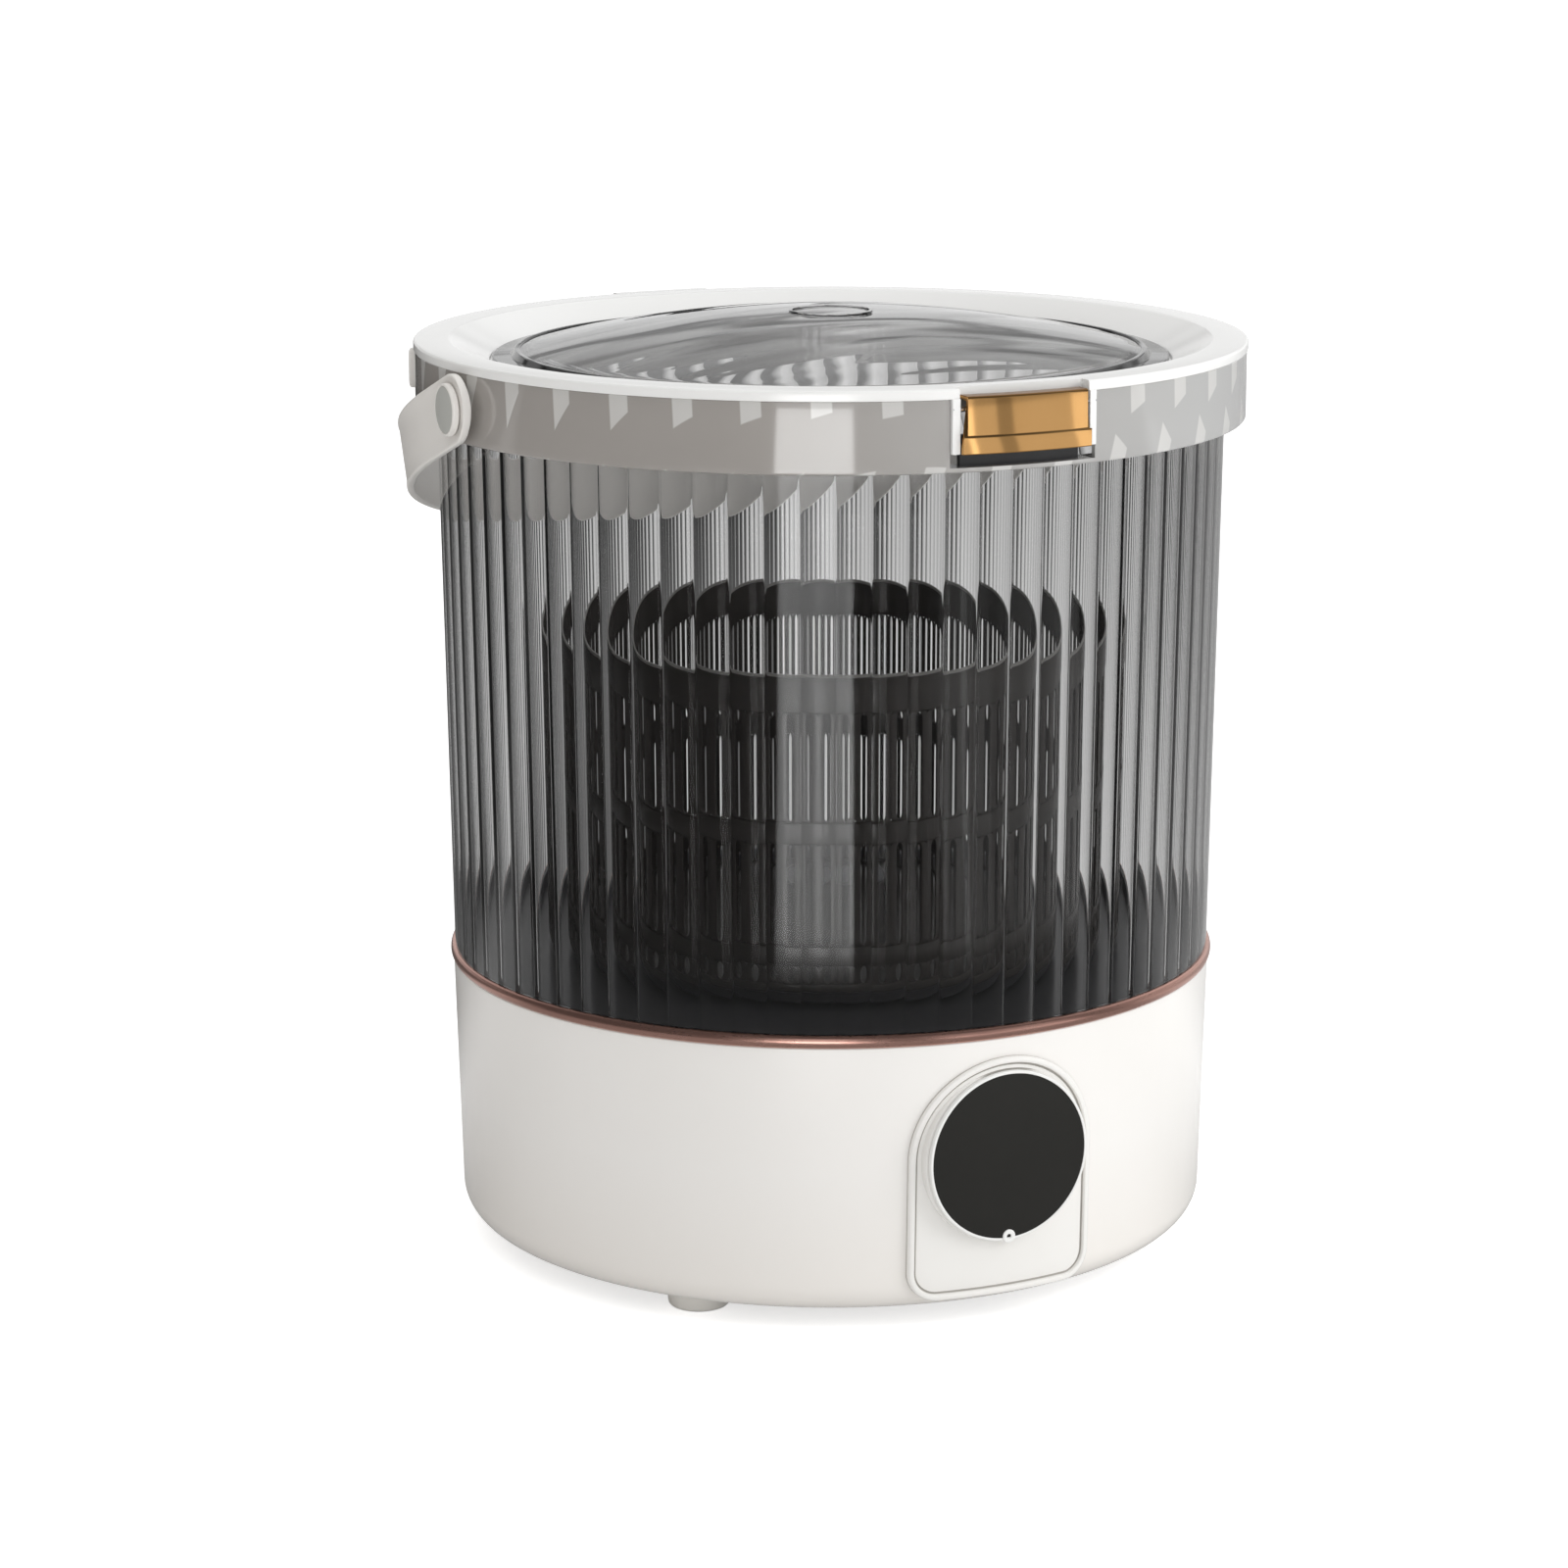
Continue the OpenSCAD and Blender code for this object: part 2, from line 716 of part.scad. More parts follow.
module stud_caps() {
    x0 = button_x + button_t - cap_depth;
    color("lightgray") at_pivots() rod(button_r - 1.25, x0, x0 + cap_depth - 0.1);
}

module handle_stops() {
    half = stop_w / 2;
    z0 = z_lid - stop_drop - stop_h;
    color("whitesmoke") difference() {
        for (s = [-1, 1]) rotate([0, 0, -90 + s * stop_angle]) {
            block([collar_r - 2, -half, z0 + half], [collar_r + stop_proud, half, z0 + stop_h - half]);
            rod_x(half, collar_r - 2, collar_r + stop_proud, 0, z0 + half);
            rod_x(half, collar_r - 2, collar_r + stop_proud, 0, z0 + stop_h - half);
        }
        rod(collar_r + 0.05, z_band - 1, z_lid + 1);
    }
}

// Outline of the arched panel, drawn in from its edge by inset
module arch_2d(inset) {
    half = panel_w / 2 - inset;
    corner = panel_corner - inset;
    low = z_base + panel_low + inset;
    translate([0, z_knob]) circle(r = half);
    translate([-half, low + corner]) square([2 * half, z_knob - low - corner]);
    translate([corner - half, low]) square([2 * (half - corner), corner + 1]);
    for (s = [-1, 1]) translate([s * (half - corner), low + corner]) circle(r = corner);
}

module arch_prism(inset) {
    rotate([90, 0, 0]) linear_extrude(height = big) arch_2d(inset);
}

// The base's sloping wall carried on down past its rounded edge, grown by d
module wall_cone(d) {
    low = z_base - 10;
    rotate_extrude($fn = 360)
        polygon([[0, low], [radius_at(low) + d, low], [base_r + d, z_ring], [0, z_ring]]);
}

module control_panel() {
    color("white") difference() {
        union() {
            intersection() {
                arch_prism(0);
                wall_cone(panel_t);
            }
            intersection() {
                difference() {
                    arch_prism(0);
                    arch_prism(bead_w);
                }
                wall_cone(bead_h);
            }
            rod_front(knob_r + 0.6, boss_face_y - 12, boss_face_y, 0, z_knob);
        }
        base_solid(0.05);
        rod_front(knob_r + 0.8, boss_face_y, boss_face_y + 10, 0, z_knob);
        rod_front(timer_bush_r + seat_gap, timer_y, base_r + 5, 0, z_knob);
    }
}

module timer_switch() {
    half = timer_w / 2;
    color("gray") difference() {
        union() {
            block([-half, -timer_y, z_knob - half], [half, timer_d - timer_y, z_knob + half]);
            rod_front(timer_bush_r, timer_y - 1, boss_face_y - 0.5, 0, z_knob);
        }
        rod_front(knob_shaft_r + run_gap, timer_y - 12, base_r + 5, 0, z_knob);
    }
}

// Moves its children to the motor's axis
module at_motor() {
    rotate([0, 0, motor_angle]) translate([motor_away, 0, 0]) children();
}

module motor_housing() {
    cap_h0 = 4;
    color("silver") at_motor() difference() {
        union() {
            rod(motor_r, z_motor, z_motor + motor_h - cap_h0);
            rod(motor_r - 3, z_motor + motor_h - cap_h0 - 1, z_motor + motor_h);
            rod(motor_shaft_r + 6, z_motor + motor_h - 1, z_motor + motor_h + 1.6);
        }
        rod(motor_shaft_r + run_gap, z_motor + motor_h - 15, z_motor + motor_h + 5);
        for (a = [0 : 30 : 330]) rotate([0, 0, a])
            block([motor_r - 2, -2, z_motor + 8], [motor_r + 2, 2, z_motor + motor_h - 12]);
    }
}

module motor_bracket() {
    color("gray") at_motor() difference() {
        rod(bracket_r, z_bracket, z_motor);
        rod(motor_r - 10, z_bracket - 1, z_motor + 1);
        around(bracket_screw_ring_r, bracket_screw_angles)
            rod(screw_r + run_gap, z_bracket - 1, z_motor + 1);
    }
}

module motor_dampers() {
    color("black") at_motor() around(bracket_screw_ring_r, bracket_screw_angles) difference() {
        union() {
            rod(screw_head_r, z_plate, z_bracket);
            rod(screw_head_r + 0.4, z_plate, z_plate + 1.5);
        }
        rod(screw_r + run_gap, z_plate - 1, z_bracket + 1);
    }
}

module motor_screws() {
    color("silver") at_motor() around(bracket_screw_ring_r, bracket_screw_angles)
        screw_down(z_motor, bracket_t + damper_h + plate_t - 1);
}

module bearing_housing() {
    body_r = bearing_r + 4;
    rib_t = 4;
    color("gray") difference() {
        union() {
            rotate_extrude() polygon([
                [spindle_r + 3, z_bearing_low], [body_r, z_bearing_low],
                [body_r, z_floor - housing_flange_t], [housing_flange_r, z_floor - housing_flange_t],
                [housing_flange_r, z_floor], [spindle_r + 3, z_floor]]);
            for (a = [45 : 90 : 315]) rotate([0, 0, a])
                block([body_r - 2, -rib_t / 2, z_floor - 16],
                      [body_r + 14, rib_t / 2, z_floor - housing_flange_t + 1]);
        }
        rod(bearing_r + run_gap, z_bearing_low - 1, z_bearing_low + bearing_w);
        rod(bearing_r + run_gap, z_floor - bearing_w - 2, z_floor + 1);
        around(housing_screw_ring_r, boss_angles)
            rod(screw_r + run_gap, z_floor - housing_flange_t - 1, z_floor + 1);
    }
}

module housing_screws() {
    thread_l = 2;
    color("silver") around(housing_screw_ring_r, boss_angles)
        screw_up(z_floor - housing_flange_t, housing_flange_t + thread_l);
}

module bearing(z) {
    mid_r = (bearing_r + spindle_r) / 2;
    tube(bearing_r, mid_r + 1.5, z, z + bearing_w);
    tube(mid_r - 1.5, spindle_r + run_gap, z, z + bearing_w);
    tube(mid_r + 2, mid_r - 2, z + bearing_w * 0.3, z + bearing_w * 0.7);
}

module upper_bearing() {
    color("lightsteelblue") bearing(z_floor - bearing_w - 2);
}

module lower_bearing() {
    color("lightsteelblue") bearing(z_bearing_low);
}

module shaft_seal() {
    color("black") {
        tube(bearing_r - 2, spindle_r + run_gap, z_floor, z_floor_top);
        tube(spindle_r + 4, spindle_r + run_gap, z_floor_top - 1, z_floor_top + 1.2);
    }
}

// Outline around both pulleys, at a distance extra outside their belt radii
module belt_2d(extra) {
    r1 = drive_r + extra;
    r2 = motor_pulley_r + extra;
    wrap = acos((drive_r - motor_pulley_r) / motor_away);
    steps = 24;
    polygon(concat(
        [for (i = [0 : steps])
            let (a = -wrap + 2 * wrap * i / steps)
            [motor_away + r2 * cos(a), r2 * sin(a)]],
        [for (i = [0 : 2 * steps])
            let (a = wrap + (360 - 2 * wrap) * i / (2 * steps))
            [r1 * cos(a), r1 * sin(a)]]));
}

module drive_belt() {
    belt_gap = 0.3;
    color("black") rotate([0, 0, motor_angle]) translate([0, 0, z_belt])
    linear_extrude(height = belt_w) difference() {
        belt_2d(belt_gap + belt_t);
        belt_2d(belt_gap);
    }
}

module control_board() {
    color("seagreen") difference() {
        union() {
            block([board_away, -board_w / 2, z_board],
                  [board_away + board_l, board_w / 2, z_board + board_t]);
            translate([board_away + relay_at[0], relay_at[1], z_board + board_t - eps]) cube(relay);
            translate([board_away + chip_at[0], chip_at[1], z_board + board_t - eps]) cube(chip);
        }
        at_board_corners() rod(screw_r + run_gap, z_board - 1, z_board + board_t + 1);
    }
}

// The four fixing points of the board
module at_board_corners() {
    for (x = [board_away + 4, board_away + board_l - 4], y = [-1, 1])
        translate([x, y * (board_w / 2 - 4), 0]) children();
}

module board_standoffs() {
    color("gold") at_board_corners() {
        rod(screw_r + 1.2, z_plate, z_board);
        rod(screw_r, z_board - 1, z_board + board_t + 1.5);
    }
}

module run_capacitor() {
    color("steelblue") translate([board_away + relay_at[0] + relay[0] + cap_gap + cap_r, -2, 0])
        rod(cap_r, z_board + board_t, z_board + board_t + cap_h);
}

module drain_pipe() {
    flange_r = drain_r + 5;
    color("gray") rotate([0, 0, drain_angle]) difference() {
        union() {
            translate([drain_away, 0, 0]) {
                rod(pipe_r, z_spout, z_floor);
                rod(flange_r, z_floor - 3, z_floor);
                translate([0, 0, z_spout]) sphere(r = pipe_r);
            }
            rod_x(socket_r, drain_away, drain_away + pipe_r + socket_l, 0, z_spout);
        }
        translate([drain_away, 0, 0]) rod(drain_r, z_spout, z_floor + 1);
        rod_x(spout_r + run_gap, drain_away, drain_away + pipe_r + socket_l + 1, 0, z_spout);
    }
}

module drain_spout() {
    x_wall = radius_at(z_spout);
    x_out = x_wall + spout_l;
    color("gray") rotate([0, 0, drain_angle]) difference() {
        union() {
            rod_x(spout_r, drain_away + pipe_r + 1, x_out, 0, z_spout);
            rod_x(shoulder_r, x_wall - base_wall - 6, x_wall + shoulder_l, 0, z_spout);
        }
        rod_x(spout_r - pipe_wall, drain_away, x_out + 1, 0, z_spout);
    }
}

module power_inlet() {
    wall = radius_at(z_spout);
    x_out = wall + 10;
    color("dimgray") rotate([0, 0, gland_angle]) difference() {
        union() {
            rod_x(gland_r, x_out - gland_l, x_out, 0, z_spout);
            rod_x(gland_r + 3, wall + 0.4, wall + 3.5, 0, z_spout);
            rod_x(gland_r + 2, wall - base_wall - 5, wall - base_wall - 2, 0, z_spout);
        }
        rod_x(gland_bore_r, x_out - gland_l - 1, x_out + 1, 0, z_spout);
    }
}

// A lead made of straight runs between points, each a little longer than its span at inner corners
module lead(r, points) {
    last = len(points) - 2;
    for (i = [0 : last]) {
        d = points[i + 1] - points[i];
        l = norm(d);
        before = i == 0 ? 0 : r * 0.6;
        after = i == last ? 0 : r * 0.7;
        translate(points[i]) rotate([0, acos(d[2] / l), atan2(d[1], d[0])])
            translate([0, 0, -before]) cylinder(r = r, h = l + before + after, $fn = 8);
    }
}

module wiring_harness() {
    lead_r = 1.6;
    z0 = z_plate + lead_r + 0.2;
    timer_back = timer_d - timer_y;
    board_x = board_away + 12;
    board_edge = board_w / 2;
    gland_in = radius_at(z_spout) + 10 - gland_l;
    gland_run = 30;
    motor_side = motor_r + 16;
    gland_dir = [cos(gland_angle), sin(gland_angle), 0];
    motor_at = [motor_away * cos(motor_angle), motor_away * sin(motor_angle), 0];
    color("orangered") {
        lead(lead_r, [[0, timer_back + 0.2, z_knob], [0, timer_back + 14, z_knob],
            [0, timer_back + 14, z0], [board_x, -board_edge - 8, z0],
            [board_x, -board_edge - 8, z_board + board_t + 3],
            [board_x, -board_edge + 2, z_board + board_t + 3]]);
        lead(lead_r, [[board_x, board_edge - 2, z_board + board_t + 3],
            [board_x, board_edge + 8, z_board + board_t + 3], [board_x, board_edge + 8, z0],
            [motor_at[0] + motor_side, motor_at[1] + 4, z0],
            [motor_at[0] + motor_side, motor_at[1] + 4, z_motor + 12],
            [motor_at[0] + motor_r + 0.2, motor_at[1] + 4, z_motor + 12]]);
        lead(lead_r, [gland_dir * (gland_in - 8) + [0, 0, z_spout],
            gland_dir * (gland_in - gland_run) + [0, 0, z_spout],
            gland_dir * (gland_in - gland_run) + [0, 0, z0],
            [board_x + 10, board_edge + 12, z0],
            [board_x + 10, board_edge + 12, z_board + board_t + 3],
            [board_x + 10, board_edge - 2, z_board + board_t + 3]]);
    }
}

module lid_ring() {
    slope_in = dome_r + dome_gap;
    ledge_in = dome_r - seat_w;
    notch_x = bar_x;
    skirt_r = collar_r - collar_wall - 4;
    skirt_back = lid_r - skirt_end;
    color("white") difference() {
        union() {
            rotate_extrude() polygon([
                [ledge_in, z_seat - slope_t], [slope_in, z_seat - slope_t],
                [lid_flat_r - 1, z_lid], [lid_r, z_lid], [lid_r, z_lid_top - 0.6],
                [lid_r - 0.6, z_lid_top], [lid_flat_r, z_lid_top], [lid_flat_r - 1.2, z_lid_top - 0.8],
                [slope_in, z_seat + 1], [slope_in, z_seat], [ledge_in, z_seat]]);
            difference() {
                tube(skirt_r, skirt_r - 2.3, z_lid - skirt_h, z_lid + 1);
                block([-big, skirt_back, z_band], [big, big, z_lid]);
                block([-notch_x, -big, z_band], [notch_x, 0, z_lid]);
            }
            intersection() {
                tube(collar_r + 1.4, collar_r - 5, z_flap_low, z_lid + 1);
                for (s = [-1, 1]) translate([s * (bar_x + bar_w / 2), 0, 0])
                    block([-bar_w / 2, -big, z_band], [bar_w / 2, 0, z_lid_top]);
            }
        }
        block([-notch_x, -lid_r - 5, z_lid - skirt_h - 1], [notch_x, notch_d - lid_r, z_lid_top + 1]);
        rod_x(flap_pin_r + run_gap, -big, big, -pin_y, pin_z);
        block([-hinge_w / 2 - seat_gap, y_hinge - 4, z_lid - 1],
              [hinge_w / 2 + seat_gap, y_hinge + 5, z_lid_top + 1]);
    }
}

module lid_dome() {
    cap_r = (step_r * step_r + dome_rise * dome_rise) / (2 * dome_rise);
    z_flange = z_seat + dome_t;
    z_step = z_flange + step_h;
    z_centre = z_step + dome_rise - cap_r;
    steps = 12;
    half_angle = asin(step_r / cap_r);
    outer = [for (i = [0 : steps])
        let (a = half_angle * (1 - i / steps))
        [cap_r * sin(a), z_centre + cap_r * cos(a)]];
    inner = [for (i = [0 : steps])
        let (a = half_angle * i / steps)
        [(cap_r - dome_t) * sin(a), z_centre + (cap_r - dome_t) * cos(a)]];
    crown_z = z_centre + sqrt(cap_r * cap_r - crown_r * crown_r);
    color([0.75, 0.76, 0.78, 0.4]) {
        rotate_extrude() polygon(concat(
            [[dome_r, z_seat], [dome_r, z_flange], [step_r + 4, z_flange], [step_r + 3, z_step + 0.4],
             [step_r + 1.2, z_step + 0.4]],
            outer, inner,
            [[step_r + 1, z_seat]]));
        tube(crown_r, crown_r - 1.6, crown_z - 1, crown_z + 0.7);
    }
}

module lid_gasket() {
    splash_r = tub_r1 - flute_depth - tub_wall_t;
    color("gray") tube(splash_r + splash_t + 0.2, splash_r - 0.2, z_lid - gasket_h, z_lid);
}

module lid_hinge_arm() {
    half = hinge_w / 2;
    plate_y = y_hinge - 2.2;
    color("whitesmoke") difference() {
        union() {
            rod_x(knuckle_r, -half, half, y_hinge, z_hinge);
            block([-half, plate_y, z_hinge], [half, y_hinge + 2, z_lid_top - 0.4]);
            block([-half, y_hinge - 4 + eps, z_lid + 0.3], [half, y_hinge, z_lid_top - 0.4]);
        }
        rod_x(hinge_pin_r + run_gap, -big, big, y_hinge, z_hinge);
    }
}

module latch_pin() {
    half = bar_x + bar_w - 0.2;
    color("silver") rod_x(flap_pin_r, -half, half, -pin_y, pin_z);
}

module latch_flap() {
    top = z_lid + 1.4;
    half = flap_half - flap_side_gap;
    color("goldenrod") difference() {
        union() {
            intersection() {
                tube(flap_in_r + flap_t, flap_in_r, z_flap_low, top);
                union() {
                    block([-half, -big, z_flap_low], [half, 0, top]);
                    block([-flap_half, -big, z_flap_low], [flap_half, 0, z_flap_low + flap_lip_h]);
                }
            }
            intersection() {
                tube(flap_in_r + 0.5, keeper_lip_r + 0.4, z_flap_low + 0.7, z_flap_low + 2.8);
                block([-half + 2, -big, 0], [half - 2, 0, top]);
            }
            intersection() {
                tube(flap_in_r + 0.5, pin_y - 4, top - 1.3, top);
                block([-half, -big, 0], [half, -pin_y + 2.2, top]);
            }
            block([-half, -flap_in_r + 0.2, pin_z - 1.5], [half, -pin_y, pin_z + 1.5]);
            rod_x(flap_pin_r + 1.4, -half, half, -pin_y, pin_z);
        }
        rod_x(flap_pin_r + run_gap, -big, big, -pin_y, pin_z);
    }
}

// Outline of the handle's bow: straight arms and a half circle of the given radius
module bow_2d(r) {
    translate([0, arm_l]) intersection() {
        circle(r = r);
        translate([-r, 0]) square([2 * r, r]);
    }
    translate([-r, 0]) square([2 * r, arm_l]);
}

module carry_handle() {
    color("gainsboro") translate([0, -pivot_front, z_pivot]) rotate([-handle_lean, 0, 0]) difference() {
        union() {
            linear_extrude(height = strap_w, center = true) difference() {
                bow_2d(bow_r + strap_t);
                bow_2d(bow_r);
                translate([-bow_r, -big / 2]) square([2 * bow_r, big / 2 + 1]);
            }
            for (s = [-1, 1]) rotate([0, s * 90, 0]) rod(strap_w / 2, bow_r, bow_r + strap_t);
        }
        rod_x(stud_r + run_gap, -big, big, 0, 0);
    }
}

module timer_knob() {
    color("white") difference() {
        rod_front(knob_r, knob_back_y, knob_face_y, 0, z_knob);
        rod_front(knob_r - knob_rim, knob_face_y - face_t, knob_face_y + 1, 0, z_knob);
        rod_front(nub_r + 0.02, knob_back_y + 1, knob_face_y + 1, 0, z_knob - nub_ring_r);
        rod_front(knob_shaft_r, knob_back_y - 1, knob_back_y + 1.2, 0, z_knob);
    }
}

module knob_face() {
    color("black") difference() {
        rod_front(knob_r - knob_rim - 0.05, knob_face_y - face_t, knob_face_y - 0.05, 0, z_knob);
        rod_front(nub_r + 0.05, knob_face_y - 2, knob_face_y + 1, 0, z_knob - nub_ring_r);
    }
}

module knob_pointer() {
    dot_r = 0.8;
    color("white") difference() {
        rod_front(nub_r, knob_back_y + 1, knob_face_y + 0.5, 0, z_knob - nub_ring_r);
        rod_front(dot_r, knob_face_y - 0.2, knob_face_y + 2, 0, z_knob - nub_ring_r);
    }
}

module knob_shaft() {
    color("silver") rod_front(knob_shaft_r, timer_y - 11, knob_back_y + 1.2, 0, z_knob);
}

// The upright ribs of the basket, with slots between them
module basket_ribs(z0, z1) {
    pitch = 360 / slot_count;
    slot_a = 2 * asin(slot_w / 2 / basket_r);
    rib_a = pitch - slot_a;
    r_in = basket_r - basket_wall;
    translate([0, 0, z0]) linear_extrude(height = z1 - z0)
    for (i = [0 : slot_count - 1]) {
        a = pitch * i;
        polygon([
            [r_in * cos(a), r_in * sin(a)],
            [basket_r * cos(a), basket_r * sin(a)],
            [basket_r * cos(a + rib_a), basket_r * sin(a + rib_a)],
            [r_in * cos(a + rib_a), r_in * sin(a + rib_a)]]);
    }
}

// A solid band round the basket that buries the ribs, standing out by proud
module basket_band(z0, z1, proud) {
    tube(basket_r + proud, basket_r - basket_wall - 0.4, z0, z1);
}

module basket() {
    top = z_basket + basket_h;
    z_foot = z_basket + foot_band;
    z_low0 = z_foot + lowest_slots;
    z_low1 = z_low0 + lower_band;
    z_mid0 = z_low1 + middle_slots;
    color([0.16, 0.16, 0.16]) {
        basket_ribs(z_basket + 1, top - 1);
        basket_band(top - rim_band, top, rim_proud);
        basket_band(z_mid0, z_mid0 + middle_band, rim_proud / 2);
        basket_band(z_low0, z_low1, rim_proud / 2);
        basket_band(z_basket, z_foot, rim_proud / 2);
    }
}

// The basket's floor, which fits inside its foot band and carries it on the pulsator's hub
module basket_floor() {
    collar_in = hub_r + seat_gap;
    rim_r = basket_r - basket_wall - 0.4 - run_gap;
    color([0.16, 0.16, 0.16]) {
        tube(rim_r, collar_in, z_basket, z_basket + basket_floor_t);
        tube(collar_in + 3, collar_in, z_basket, z_basket + hub_h - 3);
    }
}

module pulsator() {
    vane_w = 6;
    color("gray") difference() {
        union() {
            rod(pulsator_r, z_pulsator, z_pulsator_top);
            rod(hub_r, z_pulsator, z_pulsator_top + hub_h);
            for (i = [0 : vane_count - 1]) rotate([0, 0, 360 / vane_count * i])
                block([hub_r - 1, -vane_w / 2, z_pulsator_top - 1],
                      [pulsator_r - 6, vane_w / 2, z_pulsator_top + vane_h]);
        }
        rod(spindle_r + run_gap, z_pulsator - 1, z_spindle_top);
    }
}

module spindle() {
    thread_r = spindle_r - 1;
    color("silver") {
        rod(spindle_r, z_pulley, z_spindle_top);
        rod(thread_r, z_nut - 1, z_pulley + 1);
    }
}

module pulley(r, bore_r, hub, z) {
    flange = 1.8;
    difference() {
        union() {
            rod(r, z, z + pulley_w);
            rod(r + flange, z, z + (pulley_w - belt_w) / 2 - 0.4);
            rod(r + flange, z + (pulley_w + belt_w) / 2 + 0.4, z + pulley_w);
            rod(hub, z, z + pulley_w + 3);
        }
        rod(bore_r, z - 1, z + pulley_w + 5);
        children();
    }
}

module drive_pulley() {
    hole_count = 6;
    hub = spindle_r + 6;
    mid_r = (drive_r + hub) / 2;
    color("gray") pulley(drive_r, spindle_r + run_gap, hub, z_pulley) {
        for (i = [0 : hole_count - 1]) rotate([0, 0, 360 / hole_count * i])
            translate([mid_r, 0, 0]) rod((drive_r - hub) / 4, z_pulley - 1, z_pulley + pulley_w + 1);
        tube(drive_r - 5, hub + 2, z_pulley + pulley_w / 2 + 1.5, z_pulley + pulley_w + 1);
        tube(drive_r - 5, hub + 2, z_pulley - 1, z_pulley + pulley_w / 2 - 1.5);
    }
}

module spindle_nut() {
    nut_r = spindle_r + 3.5;
    color("silver") {
        difference() {
            translate([0, 0, z_nut]) cylinder(r = nut_r, h = nut_h, $fn = 6);
            rod(spindle_r - 1 + run_gap, z_nut - 1, z_pulley);
        }
        tube(spindle_r + 5, spindle_r - 1 + run_gap, z_nut + nut_h, z_pulley);
    }
}

module motor_shaft() {
    color("silver") at_motor() rod(motor_shaft_r, z_motor + motor_h - 14, z_pulley + pulley_w + 4);
}

module motor_pulley() {
    color("gray") at_motor() pulley(motor_pulley_r, motor_shaft_r + run_gap, motor_shaft_r + 3, z_pulley);
}

module drain_stopper() {
    color("black") rotate([0, 0, drain_angle]) translate([drain_away, 0, 0]) {
        rod(drain_r + 0.7, z_floor + 0.5, z_floor_top + 1);
        rod(stopper_r, z_floor_top, z_floor_top + 2.5);
        rod(3, z_floor_top + 2, z_floor_top + 9);
        rod(4.5, z_floor_top + 8, z_floor_top + 10.5);
    }
}

base_shell();
bottom_plate();
feet();
base_screws();
trim_ring();
tub_wall();
tub_floor();
tub_screws();
tub_collar();
latch_keeper();
hinge_bracket();
hinge_pin();
handle_studs();
stud_caps();
handle_stops();
control_panel();
timer_switch();
motor_housing();
motor_bracket();
motor_dampers();
motor_screws();
bearing_housing();
housing_screws();
upper_bearing();
lower_bearing();
shaft_seal();
drive_belt();
control_board();
board_standoffs();
run_capacitor();
drain_pipe();
drain_spout();
power_inlet();
wiring_harness();
lid_ring();
lid_dome();
lid_gasket();
lid_hinge_arm();
latch_pin();
latch_flap();
carry_handle();
timer_knob();
knob_face();
knob_pointer();
knob_shaft();
basket();
basket_floor();
pulsator();
spindle();
drive_pulley();
spindle_nut();
motor_shaft();
motor_pulley();
drain_stopper();
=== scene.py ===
# %% [markdown]
# # A portable washing machine
# A small washing machine of this kind is a clear bucket on a plastic base. The bucket is smoky and fluted,
# so that everything behind it is seen through 72 narrow lenses. A white lid with a clear dome closes it,
# a gold clasp holds the lid, and a flat handle swings over the top. This lesson dresses a finished frame:
# the frame gives the sizes and the moving bodies, and each cell adds one piece or one finish.

# %% Load the frame
import json
import math

import bmesh
import bpy
import numpy as np
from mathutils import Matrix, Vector


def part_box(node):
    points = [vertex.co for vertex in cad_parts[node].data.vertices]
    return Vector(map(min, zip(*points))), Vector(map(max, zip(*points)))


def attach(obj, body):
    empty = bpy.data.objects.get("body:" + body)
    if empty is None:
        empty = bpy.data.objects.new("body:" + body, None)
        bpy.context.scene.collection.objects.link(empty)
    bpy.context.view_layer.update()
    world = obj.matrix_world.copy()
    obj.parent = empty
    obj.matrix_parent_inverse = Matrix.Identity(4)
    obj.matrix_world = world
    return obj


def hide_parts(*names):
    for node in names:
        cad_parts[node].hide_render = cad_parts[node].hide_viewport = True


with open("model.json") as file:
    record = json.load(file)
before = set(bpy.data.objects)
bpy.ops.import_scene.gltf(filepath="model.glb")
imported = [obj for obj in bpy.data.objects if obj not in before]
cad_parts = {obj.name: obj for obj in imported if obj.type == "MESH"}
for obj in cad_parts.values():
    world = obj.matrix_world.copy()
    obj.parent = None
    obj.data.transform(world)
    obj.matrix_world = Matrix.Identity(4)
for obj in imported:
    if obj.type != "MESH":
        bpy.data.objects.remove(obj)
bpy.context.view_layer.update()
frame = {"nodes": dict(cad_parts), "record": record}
MM = 0.001


def mm(*values):
    """Millimetres as metres."""
    return [value * MM for value in values]


# %% [markdown]
# ## Sizes that come from the frame
# The frame knows where each piece starts and ends. Reading the heights and radii from it means that a piece
# made here still fits if the frame changes. Only small things, such as a fillet or a wall, are typed in. Two
# level directions are named too: VIEW points away from the camera, and LEFT to the camera's left.

# %% Heights and radii
def low(node):
    """Lowest corner of a node's box."""
    return np.array(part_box(node)[0])


def high(node):
    """Highest corner of a node's box."""
    return np.array(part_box(node)[1])


def midpoint(node):
    """Middle of a node's box."""
    return (low(node) + high(node)) / 2


